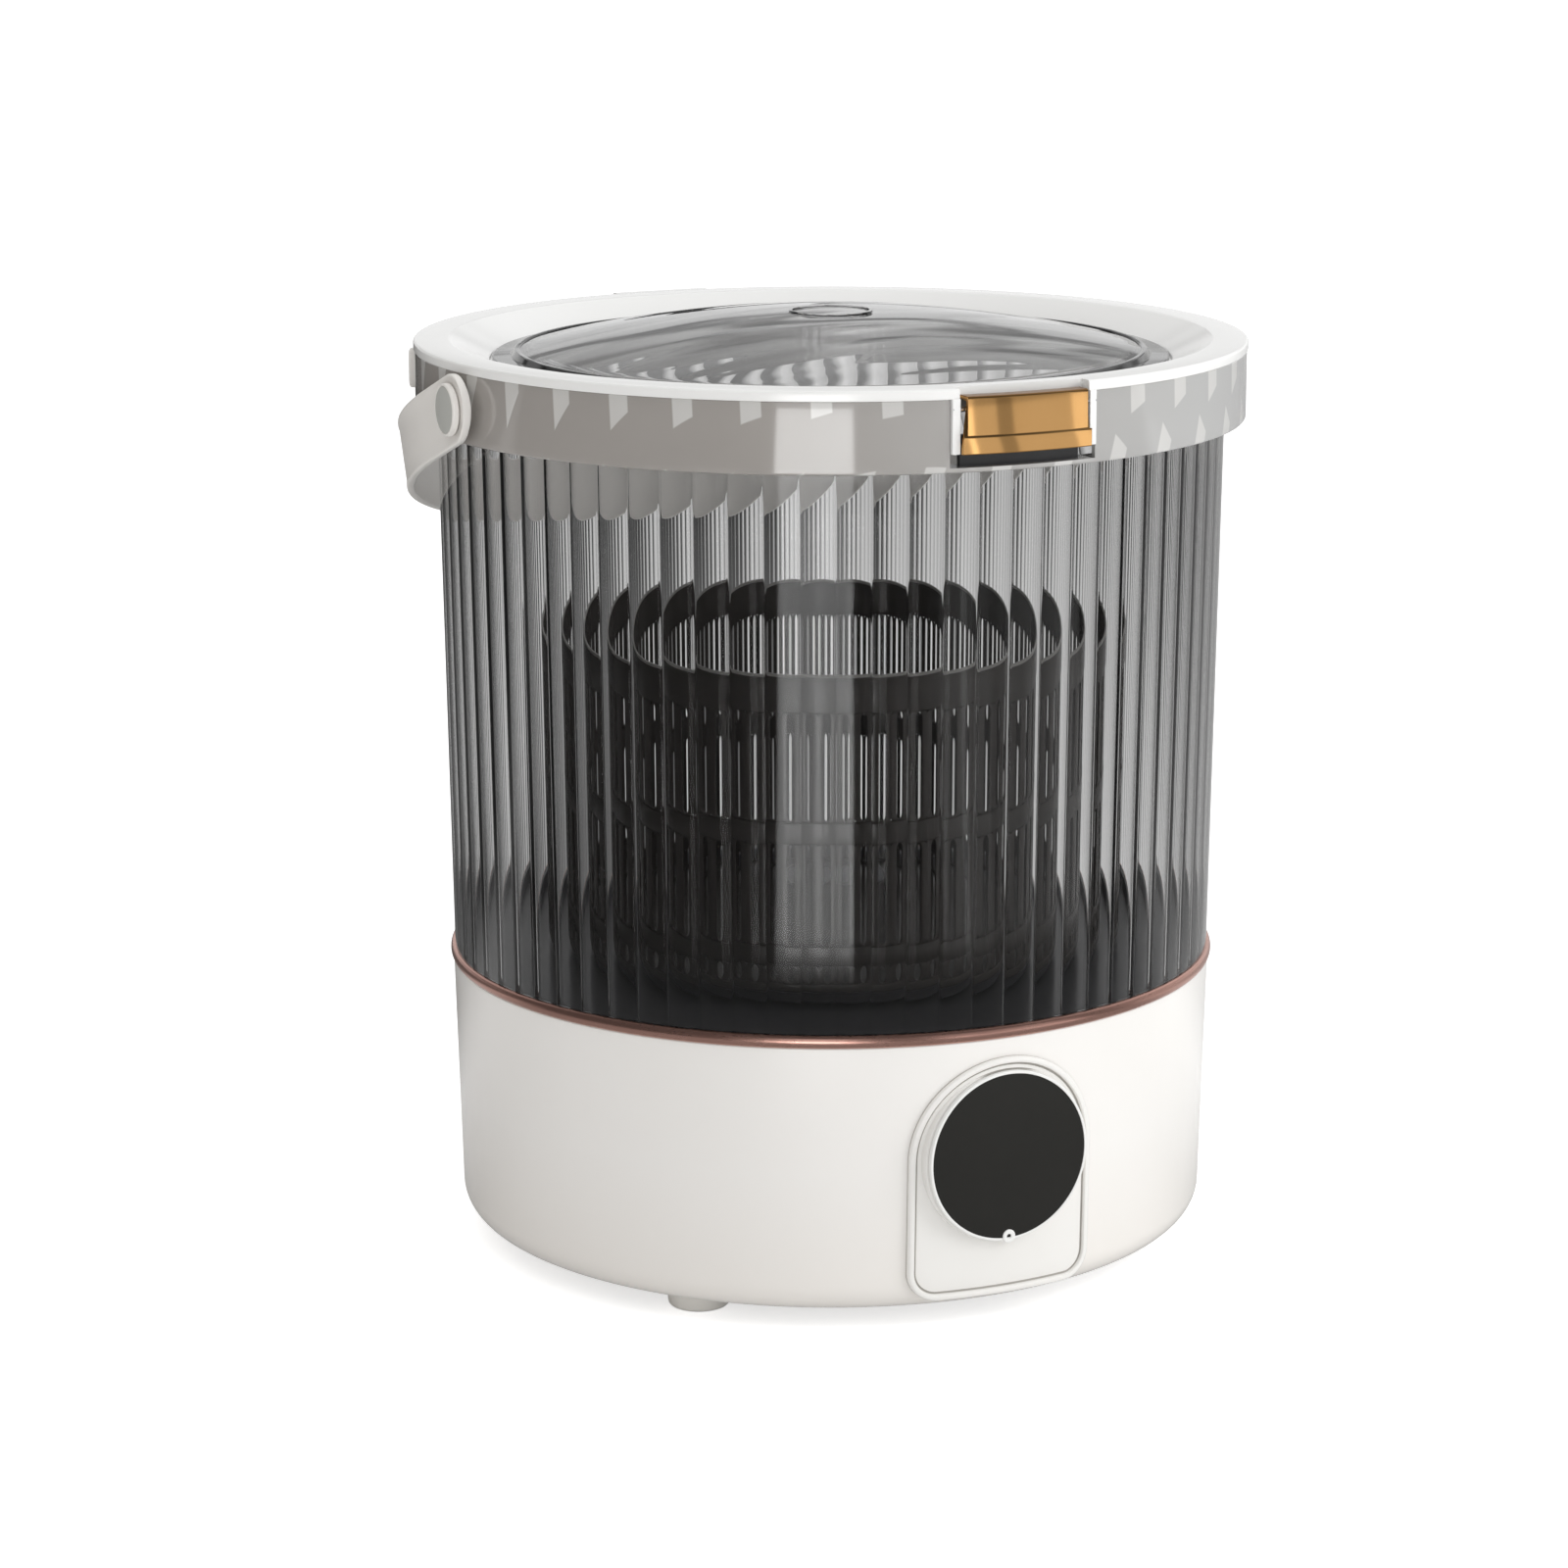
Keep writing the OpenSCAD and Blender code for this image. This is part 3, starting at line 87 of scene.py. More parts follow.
Z_BASE, Z_RING = low("base_shell")[2], high("base_shell")[2]
Z_TUB, Z_BAND, Z_LID = low("tub_wall")[2], high("tub_wall")[2], high("tub_collar")[2]
Z_LID_TOP, Z_KNOB = high("lid_ring")[2], midpoint("timer_knob")[2]
BASE_R, BAND_R, LID_R = high("base_shell")[0], high("tub_collar")[0], high("lid_ring")[0]
BASE_DRAFT, BASE_FILLET = mm(2.5, 12.4)
DOME_R, Z_SEAT = high("lid_dome")[0], low("lid_dome")[2]
Z_FLAP, Z_FLAP_TOP = low("latch_flap")[2], high("latch_flap")[2]
Y_PIVOT, Z_PIVOT = midpoint("stud_caps")[1:]
CAMERA_TURN = math.radians(25.8)
VIEW = np.array([math.sin(CAMERA_TURN), math.cos(CAMERA_TURN), 0])
LEFT = np.array([-VIEW[1], VIEW[0], 0])
print("base", round(BASE_R / MM, 1), "band", round(BAND_R / MM, 1), "lid", round(LID_R / MM, 1))

# %% [markdown]
# ## Surfaces from numbers
# Each new piece is a grid of points: rows run along an outline, and columns run round the piece. Neighbouring
# points are joined by quads. A closed outline turned about an axis gives a solid ring, which covers most of
# this machine, because nearly all of it is round.

# %% Grid, outline and turning helpers
FINE = 384  # columns round the widest pieces


def grid_faces(rows, columns, wrap_rows, wrap_columns=True):
    """Quads between neighbouring points of a grid, whose points are numbered row by row."""
    r = np.arange(rows if wrap_rows else rows - 1)
    c = np.arange(columns if wrap_columns else columns - 1)
    r, c = np.meshgrid(r, c, indexing="ij")
    r2, c2 = (r + 1) % rows, (c + 1) % columns
    corners = [r * columns + c, r * columns + c2, r2 * columns + c2, r2 * columns + c]
    return np.stack(corners, -1).reshape(-1, 4)


def rounded(corners, steps=6):
    """Points of a closed outline with corners (x, y, r), each rounded by an arc of r millimetres."""
    corners = np.array(corners, float)
    points = []
    for before, here, after in zip(np.roll(corners, 1, 0), corners, np.roll(corners, -1, 0)):
        spot, r = here[:2], here[2] * MM
        if r <= 0:
            points.append(spot)
            continue
        back, ahead = before[:2] - spot, after[:2] - spot
        back, ahead = back / np.linalg.norm(back), ahead / np.linalg.norm(ahead)
        half = math.acos(np.clip(back @ ahead, -1, 1)) / 2
        middle = (back + ahead) / np.linalg.norm(back + ahead)
        centre = spot + middle * r / math.sin(half)
        start = spot + back * r / math.tan(half) - centre
        end = spot + ahead * r / math.tan(half) - centre
        turn = math.copysign(math.pi - 2 * half, start[0] * end[1] - start[1] * end[0])
        angles = math.atan2(start[1], start[0]) + turn * np.linspace(0, 1, steps + 1)
        points += list(centre + r * np.stack([np.cos(angles), np.sin(angles)], -1))
    return np.array(points)


def polar(r, a, z):
    """Points x = r cos a, y = r sin a and z."""
    return np.stack(np.broadcast_arrays(r * np.cos(a), r * np.sin(a), z), -1)


def turned(outline, columns=256):
    """The points (r, z) of an outline at each angle. An outline that starts on the axis also ends there."""
    a = np.linspace(0, 2 * math.pi, columns, endpoint=False)
    r, z = np.array(outline).T
    return polar(r[:, None], a, z[:, None]).reshape(-1, 3), grid_faces(len(r), columns, r[0] > 0)


def add_object(name, data):
    """A new object in the scene."""
    obj = bpy.data.objects.new(name, data)
    bpy.context.scene.collection.objects.link(obj)
    return obj


def add_mesh(name, points, faces):
    """A new mesh object in the scene."""
    mesh = bpy.data.meshes.new(name)
    mesh.from_pydata(np.reshape(points, (-1, 3)).tolist(), [], np.asarray(faces).tolist())
    return add_object(name, mesh)


def piece(name, points, faces, body, slot, replaces=(), smooth=40, bevel=0, fill=False):
    """Makes one mesh piece: joins double points, turns its faces outwards and puts it on its body."""
    obj = add_mesh(name, points, faces)
    mesh = obj.data
    work = bmesh.new()
    work.from_mesh(mesh)
    bmesh.ops.remove_doubles(work, verts=work.verts, dist=2e-6)
    if fill:
        bmesh.ops.holes_fill(work, edges=work.edges)
    bmesh.ops.recalc_face_normals(work, faces=work.faces)
    work.to_mesh(mesh)
    work.free()
    mesh.shade_smooth()
    mesh.set_sharp_from_angle(angle=math.radians(smooth))
    if bevel:
        rounding = obj.modifiers.new("Bevel", "BEVEL")
        rounding.width, rounding.segments, rounding.harden_normals = bevel, 3, True
        rounding.limit_method, rounding.angle_limit = "ANGLE", math.radians(35)
    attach(obj, body)
    if replaces:
        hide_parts(*replaces)
    obj.data.materials.append(FINISHES[slot])
    print(name, len(mesh.polygons), "faces on", body)
    return obj


def on_front(x, r, z):
    """Points (x, -sqrt(r r - x x), z), on the front of an upright cylinder of radius r."""
    x, r, z = np.broadcast_arrays(x, r, z)
    return np.stack([x, -np.sqrt(r**2 - x**2), z], -1)


def facing_front(points, z):
    """Turns a shape made about +Z to face the front, with its axis at height z."""
    x, y, out = np.asarray(points, float).reshape(-1, 3).T
    return np.stack([x, -out, y + z], -1)


def facing_side(points, side):
    """Turns a shape made about +Z to face the right (side 1) or the left (side -1), on the handle's pivot."""
    x, y, out = np.asarray(points, float).reshape(-1, 3).T
    return np.stack([side * out, y + Y_PIVOT, Z_PIVOT - side * x], -1)


# %% [markdown]
# ## Shader sums as plain sums
# A finish is a small network of nodes. Writing each sum as a node by hand hides what it does, so one small
# class wraps a socket and turns +, -, * and / into Math nodes. One method adds any other node. The world
# around the machine is made of the same nodes.

# %% Wire and Finish
def operator(operation):
    """A method that makes a Math node of a wire and a number or another wire."""
    return lambda wire, other: wire.finish.maths(operation, wire, other)


class Wire:
    """A socket of a finish, which can be added, subtracted, multiplied and divided."""

    __add__ = __radd__ = operator("ADD")
    __mul__ = __rmul__ = operator("MULTIPLY")
    __sub__, __truediv__ = operator("SUBTRACT"), operator("DIVIDE")

    def __init__(self, finish, socket):
        self.finish, self.socket = finish, socket

    def __rsub__(self, other):
        return self.finish.maths("SUBTRACT", other, self)

    def above(self, limit, softness):
        """0 below limit and 1 above it, with a soft step as wide as softness."""
        return self.finish.clamp((self - (limit - softness / 2)) / softness)

    def between(self, low, high, softness):
        """1 from low to high and 0 elsewhere, with a soft step at both."""
        return self.above(low, softness) * (1 - self.above(high, softness))


class Finish:
    """One material, or the world, and the nodes in it."""

    def __init__(self, name, world=False):
        self.material = (bpy.data.worlds if world else bpy.data.materials).new(name)
        self.material.use_nodes = True
        self.nodes = self.material.node_tree.nodes
        self.nodes.clear()
        self.output = self.nodes.new("ShaderNodeOutput" + ("World" if world else "Material"))
        self.place = self.add("TexCoord", output="Generated" if world else "Object")

    def join(self, wire, socket):
        """Links a wire to an input socket."""
        self.material.node_tree.links.new(wire.socket, socket)

    def add(self, kind, inputs=None, output=0, **settings):
        """A node of this kind, with its settings and the values or wires of its input sockets."""
        node = self.nodes.new("ShaderNode" + kind)
        for key, value in settings.items():
            setattr(node, key, value)
        for key, value in (inputs or {}).items():
            if isinstance(value, Wire):
                self.join(value, node.inputs[key])
            else:
                node.inputs[key].default_value = value
        return Wire(self, node.outputs[output])

    def maths(self, operation, a, b=0.0):
        """A Math node on one or two values."""
        return self.add("Math", {0: a, 1: b}, operation=operation)

    def clamp(self, value):
        """The value, kept between 0 and 1."""
        return self.add("Clamp", {"Value": value})

    def ray(self, kind):
        """1 for rays of this kind and 0 for others."""
        return self.add("LightPath", output="Is %s Ray" % kind)

    def noise(self, size, detail=3.0, rough=0.55, stretch=(1, 1, 1)):
        """Cloudy values round 0.5, in lumps of about this size in metres."""
        spot = self.add("Mapping", {"Vector": self.place, "Scale": stretch})
        return self.add("TexNoise", {"Vector": spot, "Scale": 1 / size, "Detail": detail, "Roughness": rough})

    def mix(self, amount, a, b):
        """Colour a where amount is 0 and b where it is 1."""
        return self.add("Mix", {0: amount, 6: a, 7: b}, 2, data_type="RGBA")

    def axis(self, name):
        """One coordinate, X, Y or Z, in metres."""
        return self.add("SeparateXYZ", {0: self.place}, name)

    def radius(self):
        """Distance from the machine's upright axis, in metres."""
        x, y = self.axis("X"), self.axis("Y")
        return self.maths("SQRT", x * x + y * y)

    def bump(self, height, depth):
        """A surface normal raised by height times depth, in metres."""
        return self.add("Bump", {"Height": height, "Distance": depth, "Strength": 1.0})

    def along(self, direction):
        """How far the place, or in a world the ray, lies in this direction."""
        return self.add("VectorMath", {0: self.place, 1: tuple(direction)}, "Value", operation="DOT_PRODUCT")

    def principled(self, **values):
        """A Principled shader with these sockets."""
        names = {key.replace("_", " ").title().replace("Ior", "IOR"): value for key, value in values.items()}
        return self.add("BsdfPrincipled", names)

    def finish(self, shader):
        """Joins a shader to the output."""
        self.join(shader, self.output.inputs["Surface"])
        return self.material

    def surface(self, **values):
        """A Principled shader with these sockets, joined to the output."""
        return self.finish(self.principled(**values))

    def moulded(self, colour_map, gloss, depth=4e-6, grain=0.006, detail=2, **values):
        """A moulded plastic surface, with a skin that ripples by depth in lumps of size grain."""
        skin = self.bump(self.noise(grain, detail=detail), depth)
        return self.surface(base_color=colour_map, roughness=gloss, normal=skin, ior=1.49, **values)


def grey(value):
    """A neutral colour."""
    return (value, value, value, 1)


def tint(red, green, blue):
    """A colour written as it looks on a screen, from 0 to 255, turned into light values."""
    share = np.array([red, green, blue]) / 255
    light = np.where(share <= 0.04045, share / 12.92, ((share + 0.055) / 1.055) ** 2.4)
    return (*[float(v) for v in light], 1)


# %% [markdown]
# ## Moulded plastic
# Moulded plastic is never one flat colour. It has faint clouds from the way it flowed, a skin with a fine
# ripple, and patches that are rubbed smoother than others. The ripple is a few thousandths of a millimetre
# deep, so it only softens the edge of a reflection.

# %% Plastic finishes
def plastic(name, colour, shade, rough=0.28, ripple=4e-6, grain=0.006, spread=0.05, sheen=0.5):
    """Plastic in two close colours, with clouded gloss and a fine rippled skin."""
    f = Finish(name)
    clouds = f.noise(0.045)
    specks = f.noise(0.004, detail=5)
    colour_map = f.mix(clouds * 0.7 + specks * 0.3, tint(*colour), tint(*shade))
    gloss = f.noise(0.03) * spread + (specks * spread + (rough - spread))
    return f.moulded(colour_map, gloss, ripple, grain, specular_ior_level=sheen)


def base_plastic():
    """Warm white plastic, with painted shade that makes it darker and creamier low down."""
    f = Finish("warm_white_plastic")
    clouds = f.noise(0.06)
    specks = f.noise(0.003, detail=5)
    height = f.axis("Z") / (Z_RING - Z_BASE)
    cream = f.mix(clouds * 0.4 + specks * 0.06, tint(248, 246, 243), tint(243, 240, 235))
    # Painted shade: the colour turns darker and creamier towards the bottom.
    colour_map = f.mix((1 - height).above(0.75, 0.7) * 0.5, cream, tint(236, 229, 220))
    gloss = f.noise(0.035) * 0.06 + (specks * 0.02 + 0.2)
    return f.moulded(colour_map, gloss, 6e-6, 0.008, 1, coat_weight=0.25, coat_roughness=0.1)


def white_plastic(f, white, shade, mark, mark_colour, rough, coat):
    """White plastic with another colour where mark is 1."""
    colour_map = f.mix(mark, f.mix(f.noise(0.045), tint(*white), tint(*shade)), tint(*mark_colour))
    return f.moulded(colour_map, f.noise(0.03) * 0.05 + rough, coat_weight=coat, coat_roughness=0.12)


def lid_plastic():
    """White plastic with a dark ring of seal on the seat below the dome's clear flange."""
    f = Finish("lid_white_plastic")
    beyond_dome = f.radius().above(DOME_R - 0.4 * MM, 0.2 * MM)
    seal = (1 - beyond_dome) * (1 - f.axis("Z").above(Z_SEAT + 0.3 * MM, 0.1 * MM))
    return white_plastic(f, (250, 250, 249), (245, 245, 243), seal, (58, 57, 56), seal * 0.3 + 0.18, 0.3)


def panel_plastic():
    """White plastic, with painted shade in grey in the low places on either side of the bead."""
    f = Finish("panel_white_plastic")
    slope = BASE_DRAFT / (Z_RING - Z_BASE - BASE_FILLET)
    lift = f.radius() - BASE_R + (Z_RING - f.axis("Z")) * slope
    # Painted shade: the low places beside the bead are painted grey.
    painted_groove_shade = 1 - lift.above(0.8 * MM, 0.25 * MM)
    return white_plastic(f, (246, 245, 242), (241, 239, 235), painted_groove_shade, (186, 182, 176), 0.22, 0.2)


def basket_plastic():
    """Nearly black plastic, with a paler painted highlight along the basket's upper edge."""
    f = Finish("black_basket_plastic")
    # Painted highlight: the basket's upper edge is painted paler.
    edge = f.axis("Z").above(high("basket")[2] - 0.9 * MM, 0.4 * MM)
    black = f.mix(f.noise(0.03), tint(50, 47, 45), tint(42, 40, 38))
    colour_map = f.mix(edge * 0.7, black, tint(146, 145, 142))
    return f.moulded(colour_map, f.noise(0.02) * 0.08 + 0.2, specular_ior_level=0.3)


FINISHES = {
    "white_plastic": base_plastic(),
    "panel_plastic": panel_plastic(),
    "lid_white": lid_plastic(),
    "knob_white": plastic("knob_white_plastic", (246, 246, 244), (240, 240, 238), 0.25),
    "knob_black": plastic("knob_black_face", (40, 40, 38), (46, 45, 43), 0.36, sheen=0.15),
    "handle_plastic": plastic("pale_grey_plastic", (244, 241, 237), (238, 235, 230), 0.36),
    "grey_plastic": plastic("grey_plastic", (196, 197, 192), (186, 187, 182), 0.4),
    "dark_plastic": plastic("dark_grey_plastic", (52, 52, 54), (44, 44, 46), 0.35),
    "basket_black": basket_plastic(),
    "foot_rubber": plastic("off_white_rubber", (242, 240, 235), (236, 233, 227), 0.55, 2e-5, 0.002),
    "black_rubber": plastic("black_rubber", (34, 34, 34), (26, 26, 26), 0.65, 2e-5, 0.002),
    "seal_rubber": plastic("grey_silicone_rubber", (150, 150, 149), (138, 138, 137), 0.5, 1e-5),
    "wire_sheath": plastic("orange_wire_sheath", (196, 92, 44), (178, 80, 38), 0.4),
}
print(len(FINISHES), "plastic and rubber finishes")

# %% [markdown]
# ## Metals
# Plated trim is metal all through as far as light is concerned, so its colour is in the reflection. Fine
# brushing runs round the ring, so the noise is stretched along it, and a few clouded patches keep the shine
# from looking like a mirror.

# %% Metal finishes
def metal(name, colour, shade, rough=0.22, brush=(1, 1, 14), brush_size=0.006, depth=3e-6, fold=1.0):
    """Metal with brush lines along the axes that are stretched least, brown and rougher above the height
    fold.
    """
    f = Finish(name)
    lines = f.noise(brush_size, detail=6, rough=0.7, stretch=brush)
    clouds = f.noise(0.02)
    top = f.axis("Z").above(fold - 0.35 * MM, 0.2 * MM)
    plated = f.mix(clouds * 0.6 + lines * 0.4, tint(*colour), tint(*shade))
    colour_map = f.mix(top * 0.75, plated, tint(104, 66, 24))
    gloss = lines * 0.05 + (clouds * 0.03 + (rough - 0.04)) + top * 0.25
    return f.surface(base_color=colour_map, metallic=1.0, roughness=gloss, normal=f.bump(lines, depth))


FINISHES.update({
    "rose_gold": metal("rose_gold_plating", (216, 172, 158), (198, 150, 138), 0.28),
    "gold": metal("gold_plating", (214, 168, 110), (202, 154, 96), 0.07, (14, 14, 1), depth=4e-7,
                  fold=Z_FLAP_TOP),
    "steel": metal("zinc_plated_steel", (196, 198, 202), (176, 178, 182), 0.3),
    "brass": metal("turned_brass", (206, 176, 110), (186, 154, 90), 0.28),
    "cast_alloy": metal("cast_alloy", (176, 178, 181), (158, 160, 164), 0.45, (1, 1, 1), 0.002, 2e-5),
})


def circuit_board():
    """Green lacquer over thin copper tracks, which show as a paler raised maze."""
    f = Finish("green_circuit_board")
    track = f.add("TexVoronoi", {"Vector": f.place, "Scale": 220.0}, feature="DISTANCE_TO_EDGE")
    edge = 1 - track.above(0.12, 0.05)
    colour_map = f.mix(edge, tint(24, 92, 52), tint(46, 128, 74))
    gloss = f.noise(0.01) * 0.1 + 0.28
    return f.surface(base_color=colour_map, roughness=gloss, normal=f.bump(edge, 3e-5))


FINISHES["board_green"] = circuit_board()
print(len(FINISHES), "finishes with the metals and the circuit board")

# %% [markdown]
# ## Smoky clear plastic
# Clear plastic bends light where it enters and leaves, and its smoke darkens light along the way. Both are
# real here: the shader refracts, and a volume inside the wall absorbs. So the flutes magnify and darken by
# their own shape, with no painted stripes. The walls have to be closed shells for this. The band at the tub's
# mouth is another plastic: milky, painted paler towards the right, with painted light in a plain pattern of
# paler wedges, like flags in two rows.

# %% Clear finishes
FLUTE_DEPTH, TUB_WALL = mm(1, 2.6)
TUB_R0, TUB_R1 = BASE_R - 0.6 * MM, BASE_R + 2.7 * MM


def clear_plastic(name, smoke, grain=0.012, ripple=1e-5, stretch=(1, 1, 1), dark_rings=(), fluted=False):
    """Refracting plastic filled with smoke of this density. A fluted wall shines most on its outside."""
    f = Finish(name)
    streaks = f.noise(0.02, detail=4, stretch=(1, 1, 0.15))
    gloss = streaks.above(0.6, 0.2) * 0.015 + 0.005
    skin = f.noise(grain, detail=1, stretch=stretch)
    absorb = f.add("VolumeAbsorption", {"Color": tint(56, 52, 50), "Density": smoke})
    f.join(absorb, f.output.inputs["Volume"])
    colour_map = f.mix(streaks * 0.1, grey(1.0), grey(0.96))
    r = f.radius()
    for inner, outer, shade in dark_rings:
        colour_map = f.mix(r.between(inner, outer, 0.3 * MM), colour_map, grey(shade))

    def glass_with(shine):
        """The same plastic with more or less of its mirror shine."""
        return f.principled(base_color=colour_map, roughness=gloss, transmission_weight=1.0, ior=1.47,
                            specular_tint=grey(shine), normal=f.bump(skin, ripple))

    glass = glass_with(0.4)
    if fluted:
        wall = TUB_R0 + (f.axis("Z") - Z_TUB) * ((TUB_R1 - TUB_R0) / (Z_BAND - Z_TUB)) - FLUTE_DEPTH
        inside = (wall - r).above(TUB_WALL / 2, 0.1 * MM)
        glass = f.add("MixShader", {0: inside, 1: glass_with(0.55), 2: glass_with(0.12)})
    let_through = f.add("BsdfTransparent", {"Color": grey(1.0)})
    return f.finish(f.add("MixShader", {0: f.ray("Shadow"), 1: glass, 2: let_through}))


LIGHT_FLAGS = 40


def band_plastic():
    """Milky grey plastic painted paler to the right, with flags of painted light: tall wedges, one side
    upright, one slanted.
    """
    f = Finish("milky_band_plastic")
    angle = f.maths("ARCTAN2", f.axis("Y"), f.axis("X")) * (LIGHT_FLAGS / (2 * math.pi))
    r = f.radius()
    outside = (r * r).above((BAND_R - 1 * MM) ** 2, 1e-4)
    up = (f.axis("Z") - Z_BAND) / (Z_LID - Z_BAND)
    across = f.along(-LEFT) / BAND_R
    left_side = f.maths("MAXIMUM", 0 - across, across * 0.45).above(0.42, 0.84)
    right_side = across.above(0.3, 0.9)

    def light_flag(shift, lean, edge):
        """A flag of painted light: 1 between two leaning sides, 0.3 of the pitch apart, where edge is above 0
        at that way across.
        """
        u = f.maths("FRACT", angle + shift) - up * lean
        return u.between(0.2, 0.5, 0.02) * edge(u - 0.2).above(0.0, 0.02)

    # Painted light: two rows of pale flags stand for patches of light on the band.
    hanging_light = light_flag(0.3, -0.05, lambda u: up - 0.8 + left_side * 0.5 - u * (left_side * left_side * 2.1 + 0.2))
    standing_light = light_flag(0.75, 0.3, lambda u: right_side * 0.55 - up + u * 0.5 - u * right_side * 1.4 - 0.12)
    clouds = f.noise(0.03)
    milky = f.mix(clouds, tint(188, 183, 178), tint(181, 176, 171))
    # Painted light: the milky colour turns paler towards the right side.
    milky_painted_lighter_right = f.mix(across.above(0.35, 1.0), milky, tint(206, 206, 205))
    pale = f.clamp((hanging_light + standing_light) * outside)
    colour_map = f.mix(pale * 0.85, milky_painted_lighter_right, tint(238, 237, 234))
    gloss = clouds * 0.05 + 0.06
    return f.surface(base_color=colour_map, roughness=gloss, normal=f.bump(f.noise(0.01, detail=1), 3e-6),
                     transmission_weight=0.25, ior=1.47, coat_weight=0.6, coat_roughness=0.02)


FINISHES.update({
    "smoky_clear": clear_plastic("smoky_clear_plastic", 34.0, stretch=(1, 1, 0.1), fluted=True),
    "collar_clear": band_plastic(),
    "dome_clear": clear_plastic("clear_dome_plastic", 48.0, 0.06, 0.0016, (0.45, 1.6, 1), dark_rings=(
        (DOME_R - 14 * MM, DOME_R + MM, 0.2),
        (DOME_R - 13 * MM, DOME_R - 10.6 * MM, 0.01),
        (DOME_R - 2.4 * MM, DOME_R + MM, 0.01))),
})
print("clear finishes made")

# %% [markdown]
# ## The base
# The base is one moulding: a slightly tapered wall, a wide rounded lower edge, a lip that the bottom plate
# closes against, and a ledge inside that carries the tub's floor. Its outline is turned about the axis.

# %% Base shell
BASE_WALL = 2.6 * MM
LIP_W, PLATE_T, LIP_T, LEDGE_W, LEDGE_T = mm(4.5, 3, 2.8, 8, 3)
Z_FLOOR = low("tub_floor")[2]


def wall_radius(z):
    """Outer radius of the base's tapered wall at height z."""
    return BASE_R - BASE_DRAFT * (Z_RING - z) / (Z_RING - Z_BASE - BASE_FILLET)


def base_surface(z):
    """Outer radius of the base at height z, with the rounded lower edge."""
    centre = BASE_R - BASE_DRAFT - BASE_FILLET
    drop = np.clip(Z_BASE + BASE_FILLET - z, 0, BASE_FILLET)
    return np.where(drop > 0, centre + np.sqrt(BASE_FILLET**2 - drop**2), wall_radius(z))


def base_outline():
    """Corners of the base's section, from the lip outwards and up, then down the inside."""
    foot_r, z_plate = BASE_R - BASE_DRAFT, Z_BASE + PLATE_T
    sole = foot_r - BASE_FILLET
    inside, ledge = wall_radius(Z_FLOOR) - BASE_WALL, BASE_R - BASE_WALL - LEDGE_W
    return rounded([
        (sole, z_plate, 0), (sole, Z_BASE, 0), (foot_r - 0.3 * MM, Z_BASE, 12.3),
        (BASE_R, Z_RING, 0.8), (BASE_R - BASE_WALL, Z_RING, 0.3), (inside, Z_FLOOR, 0),
        (ledge, Z_FLOOR, 0.5), (ledge, Z_FLOOR - LEDGE_T, 0.5), (inside, Z_FLOOR - LEDGE_T, 1),
        (foot_r - BASE_WALL, z_plate + LIP_T, 6), (sole - LIP_W, z_plate + LIP_T, 0.5),
        (sole - LIP_W, z_plate, 0)], steps=14)


piece("base_casing", *turned(base_outline(), FINE), "housing", "white_plastic", ["base_shell"])

# %% [markdown]
# ## The rose-gold ring
# The ring is a thin plated band with a rounded face. It sits between the base and the tub and stands out by
# about a millimetre, so it catches one long highlight.

# %% Trim ring
TRIM_R, TRIM_IN = high("trim_ring")[0], BASE_R - BASE_WALL + 0.2 * MM


def trim_outline():
    """A half oval from the ring's lower edge to its upper edge, closed by its flat inner face."""
    a = np.radians(np.linspace(-90, 90, 17))
    bulge, half = 1.5 * MM, (Z_TUB - Z_RING) / 2
    face = np.stack([TRIM_R - bulge + bulge * np.cos(a), Z_RING + half + half * np.sin(a)], -1)
    return np.concatenate([[[TRIM_IN, Z_RING]], face, [[TRIM_IN, Z_TUB]]])


piece("rose_gold_ring", *turned(trim_outline(), FINE), "housing", "rose_gold", ["trim_ring"], smooth=60)

# %% [markdown]
# ## The fluted tub
# Seventy-two shallow hollows run up the inside of the tub, and each acts as a lens. The wall is thinnest in
# the middle of a flute and thickens to both sides as a parabola. Where two flutes meet, a thin round bead
# draws a crisp line, so the points stand closer together there. The outside is smooth, which keeps its
# upright reflection straight and unbroken. The tub widens a little towards the top.

# %% Tub wall
FLUTES = 72
HALF_PLACES = np.array([0.25, 0.5, 0.7, 0.85, 0.92, 0.95, 0.975])
FLUTE_PLACES = np.concatenate([[-1], -HALF_PLACES[::-1], [0], HALF_PLACES])
RIDGE = 0.93


def fluted_wall():
    """r = ridge(z) outside and r = ridge(z) - wall - depth t t inside.

    t goes from -1 to 1 across a flute. Beyond RIDGE a round bead takes the parabola's place.
    """
    columns = FLUTES * len(FLUTE_PLACES)
    t = np.tile(FLUTE_PLACES, FLUTES)
    flute = np.repeat(np.arange(FLUTES), len(FLUTE_PLACES))
    angle = 2 * math.pi / FLUTES * (flute + (t + 1) / 2) - math.pi / 2
    beyond = np.clip((np.abs(t) - RIDGE) / (1 - RIDGE), 0, 1)
    dip = 1 - np.minimum(np.abs(t), RIDGE) ** 2 - (1 - RIDGE**2) * np.sqrt(1 - (1 - beyond) ** 2)
    rise = np.linspace(0, 1, 25)
    ridge = TUB_R0 + (TUB_R1 - TUB_R0) * rise
    outer = np.repeat(ridge[:, None], columns, 1)
    inner = (ridge - FLUTE_DEPTH - TUB_WALL)[::-1, None] + FLUTE_DEPTH * dip[None, :]
    z = Z_TUB + (Z_BAND - Z_TUB) * np.concatenate([rise, rise[::-1]])
    r = np.concatenate([outer, inner])
    return polar(r, angle, z[:, None]), grid_faces(len(z), columns, True)


piece("fluted_tub", *fluted_wall(), "housing", "smoky_clear", ["tub_wall"], smooth=30)

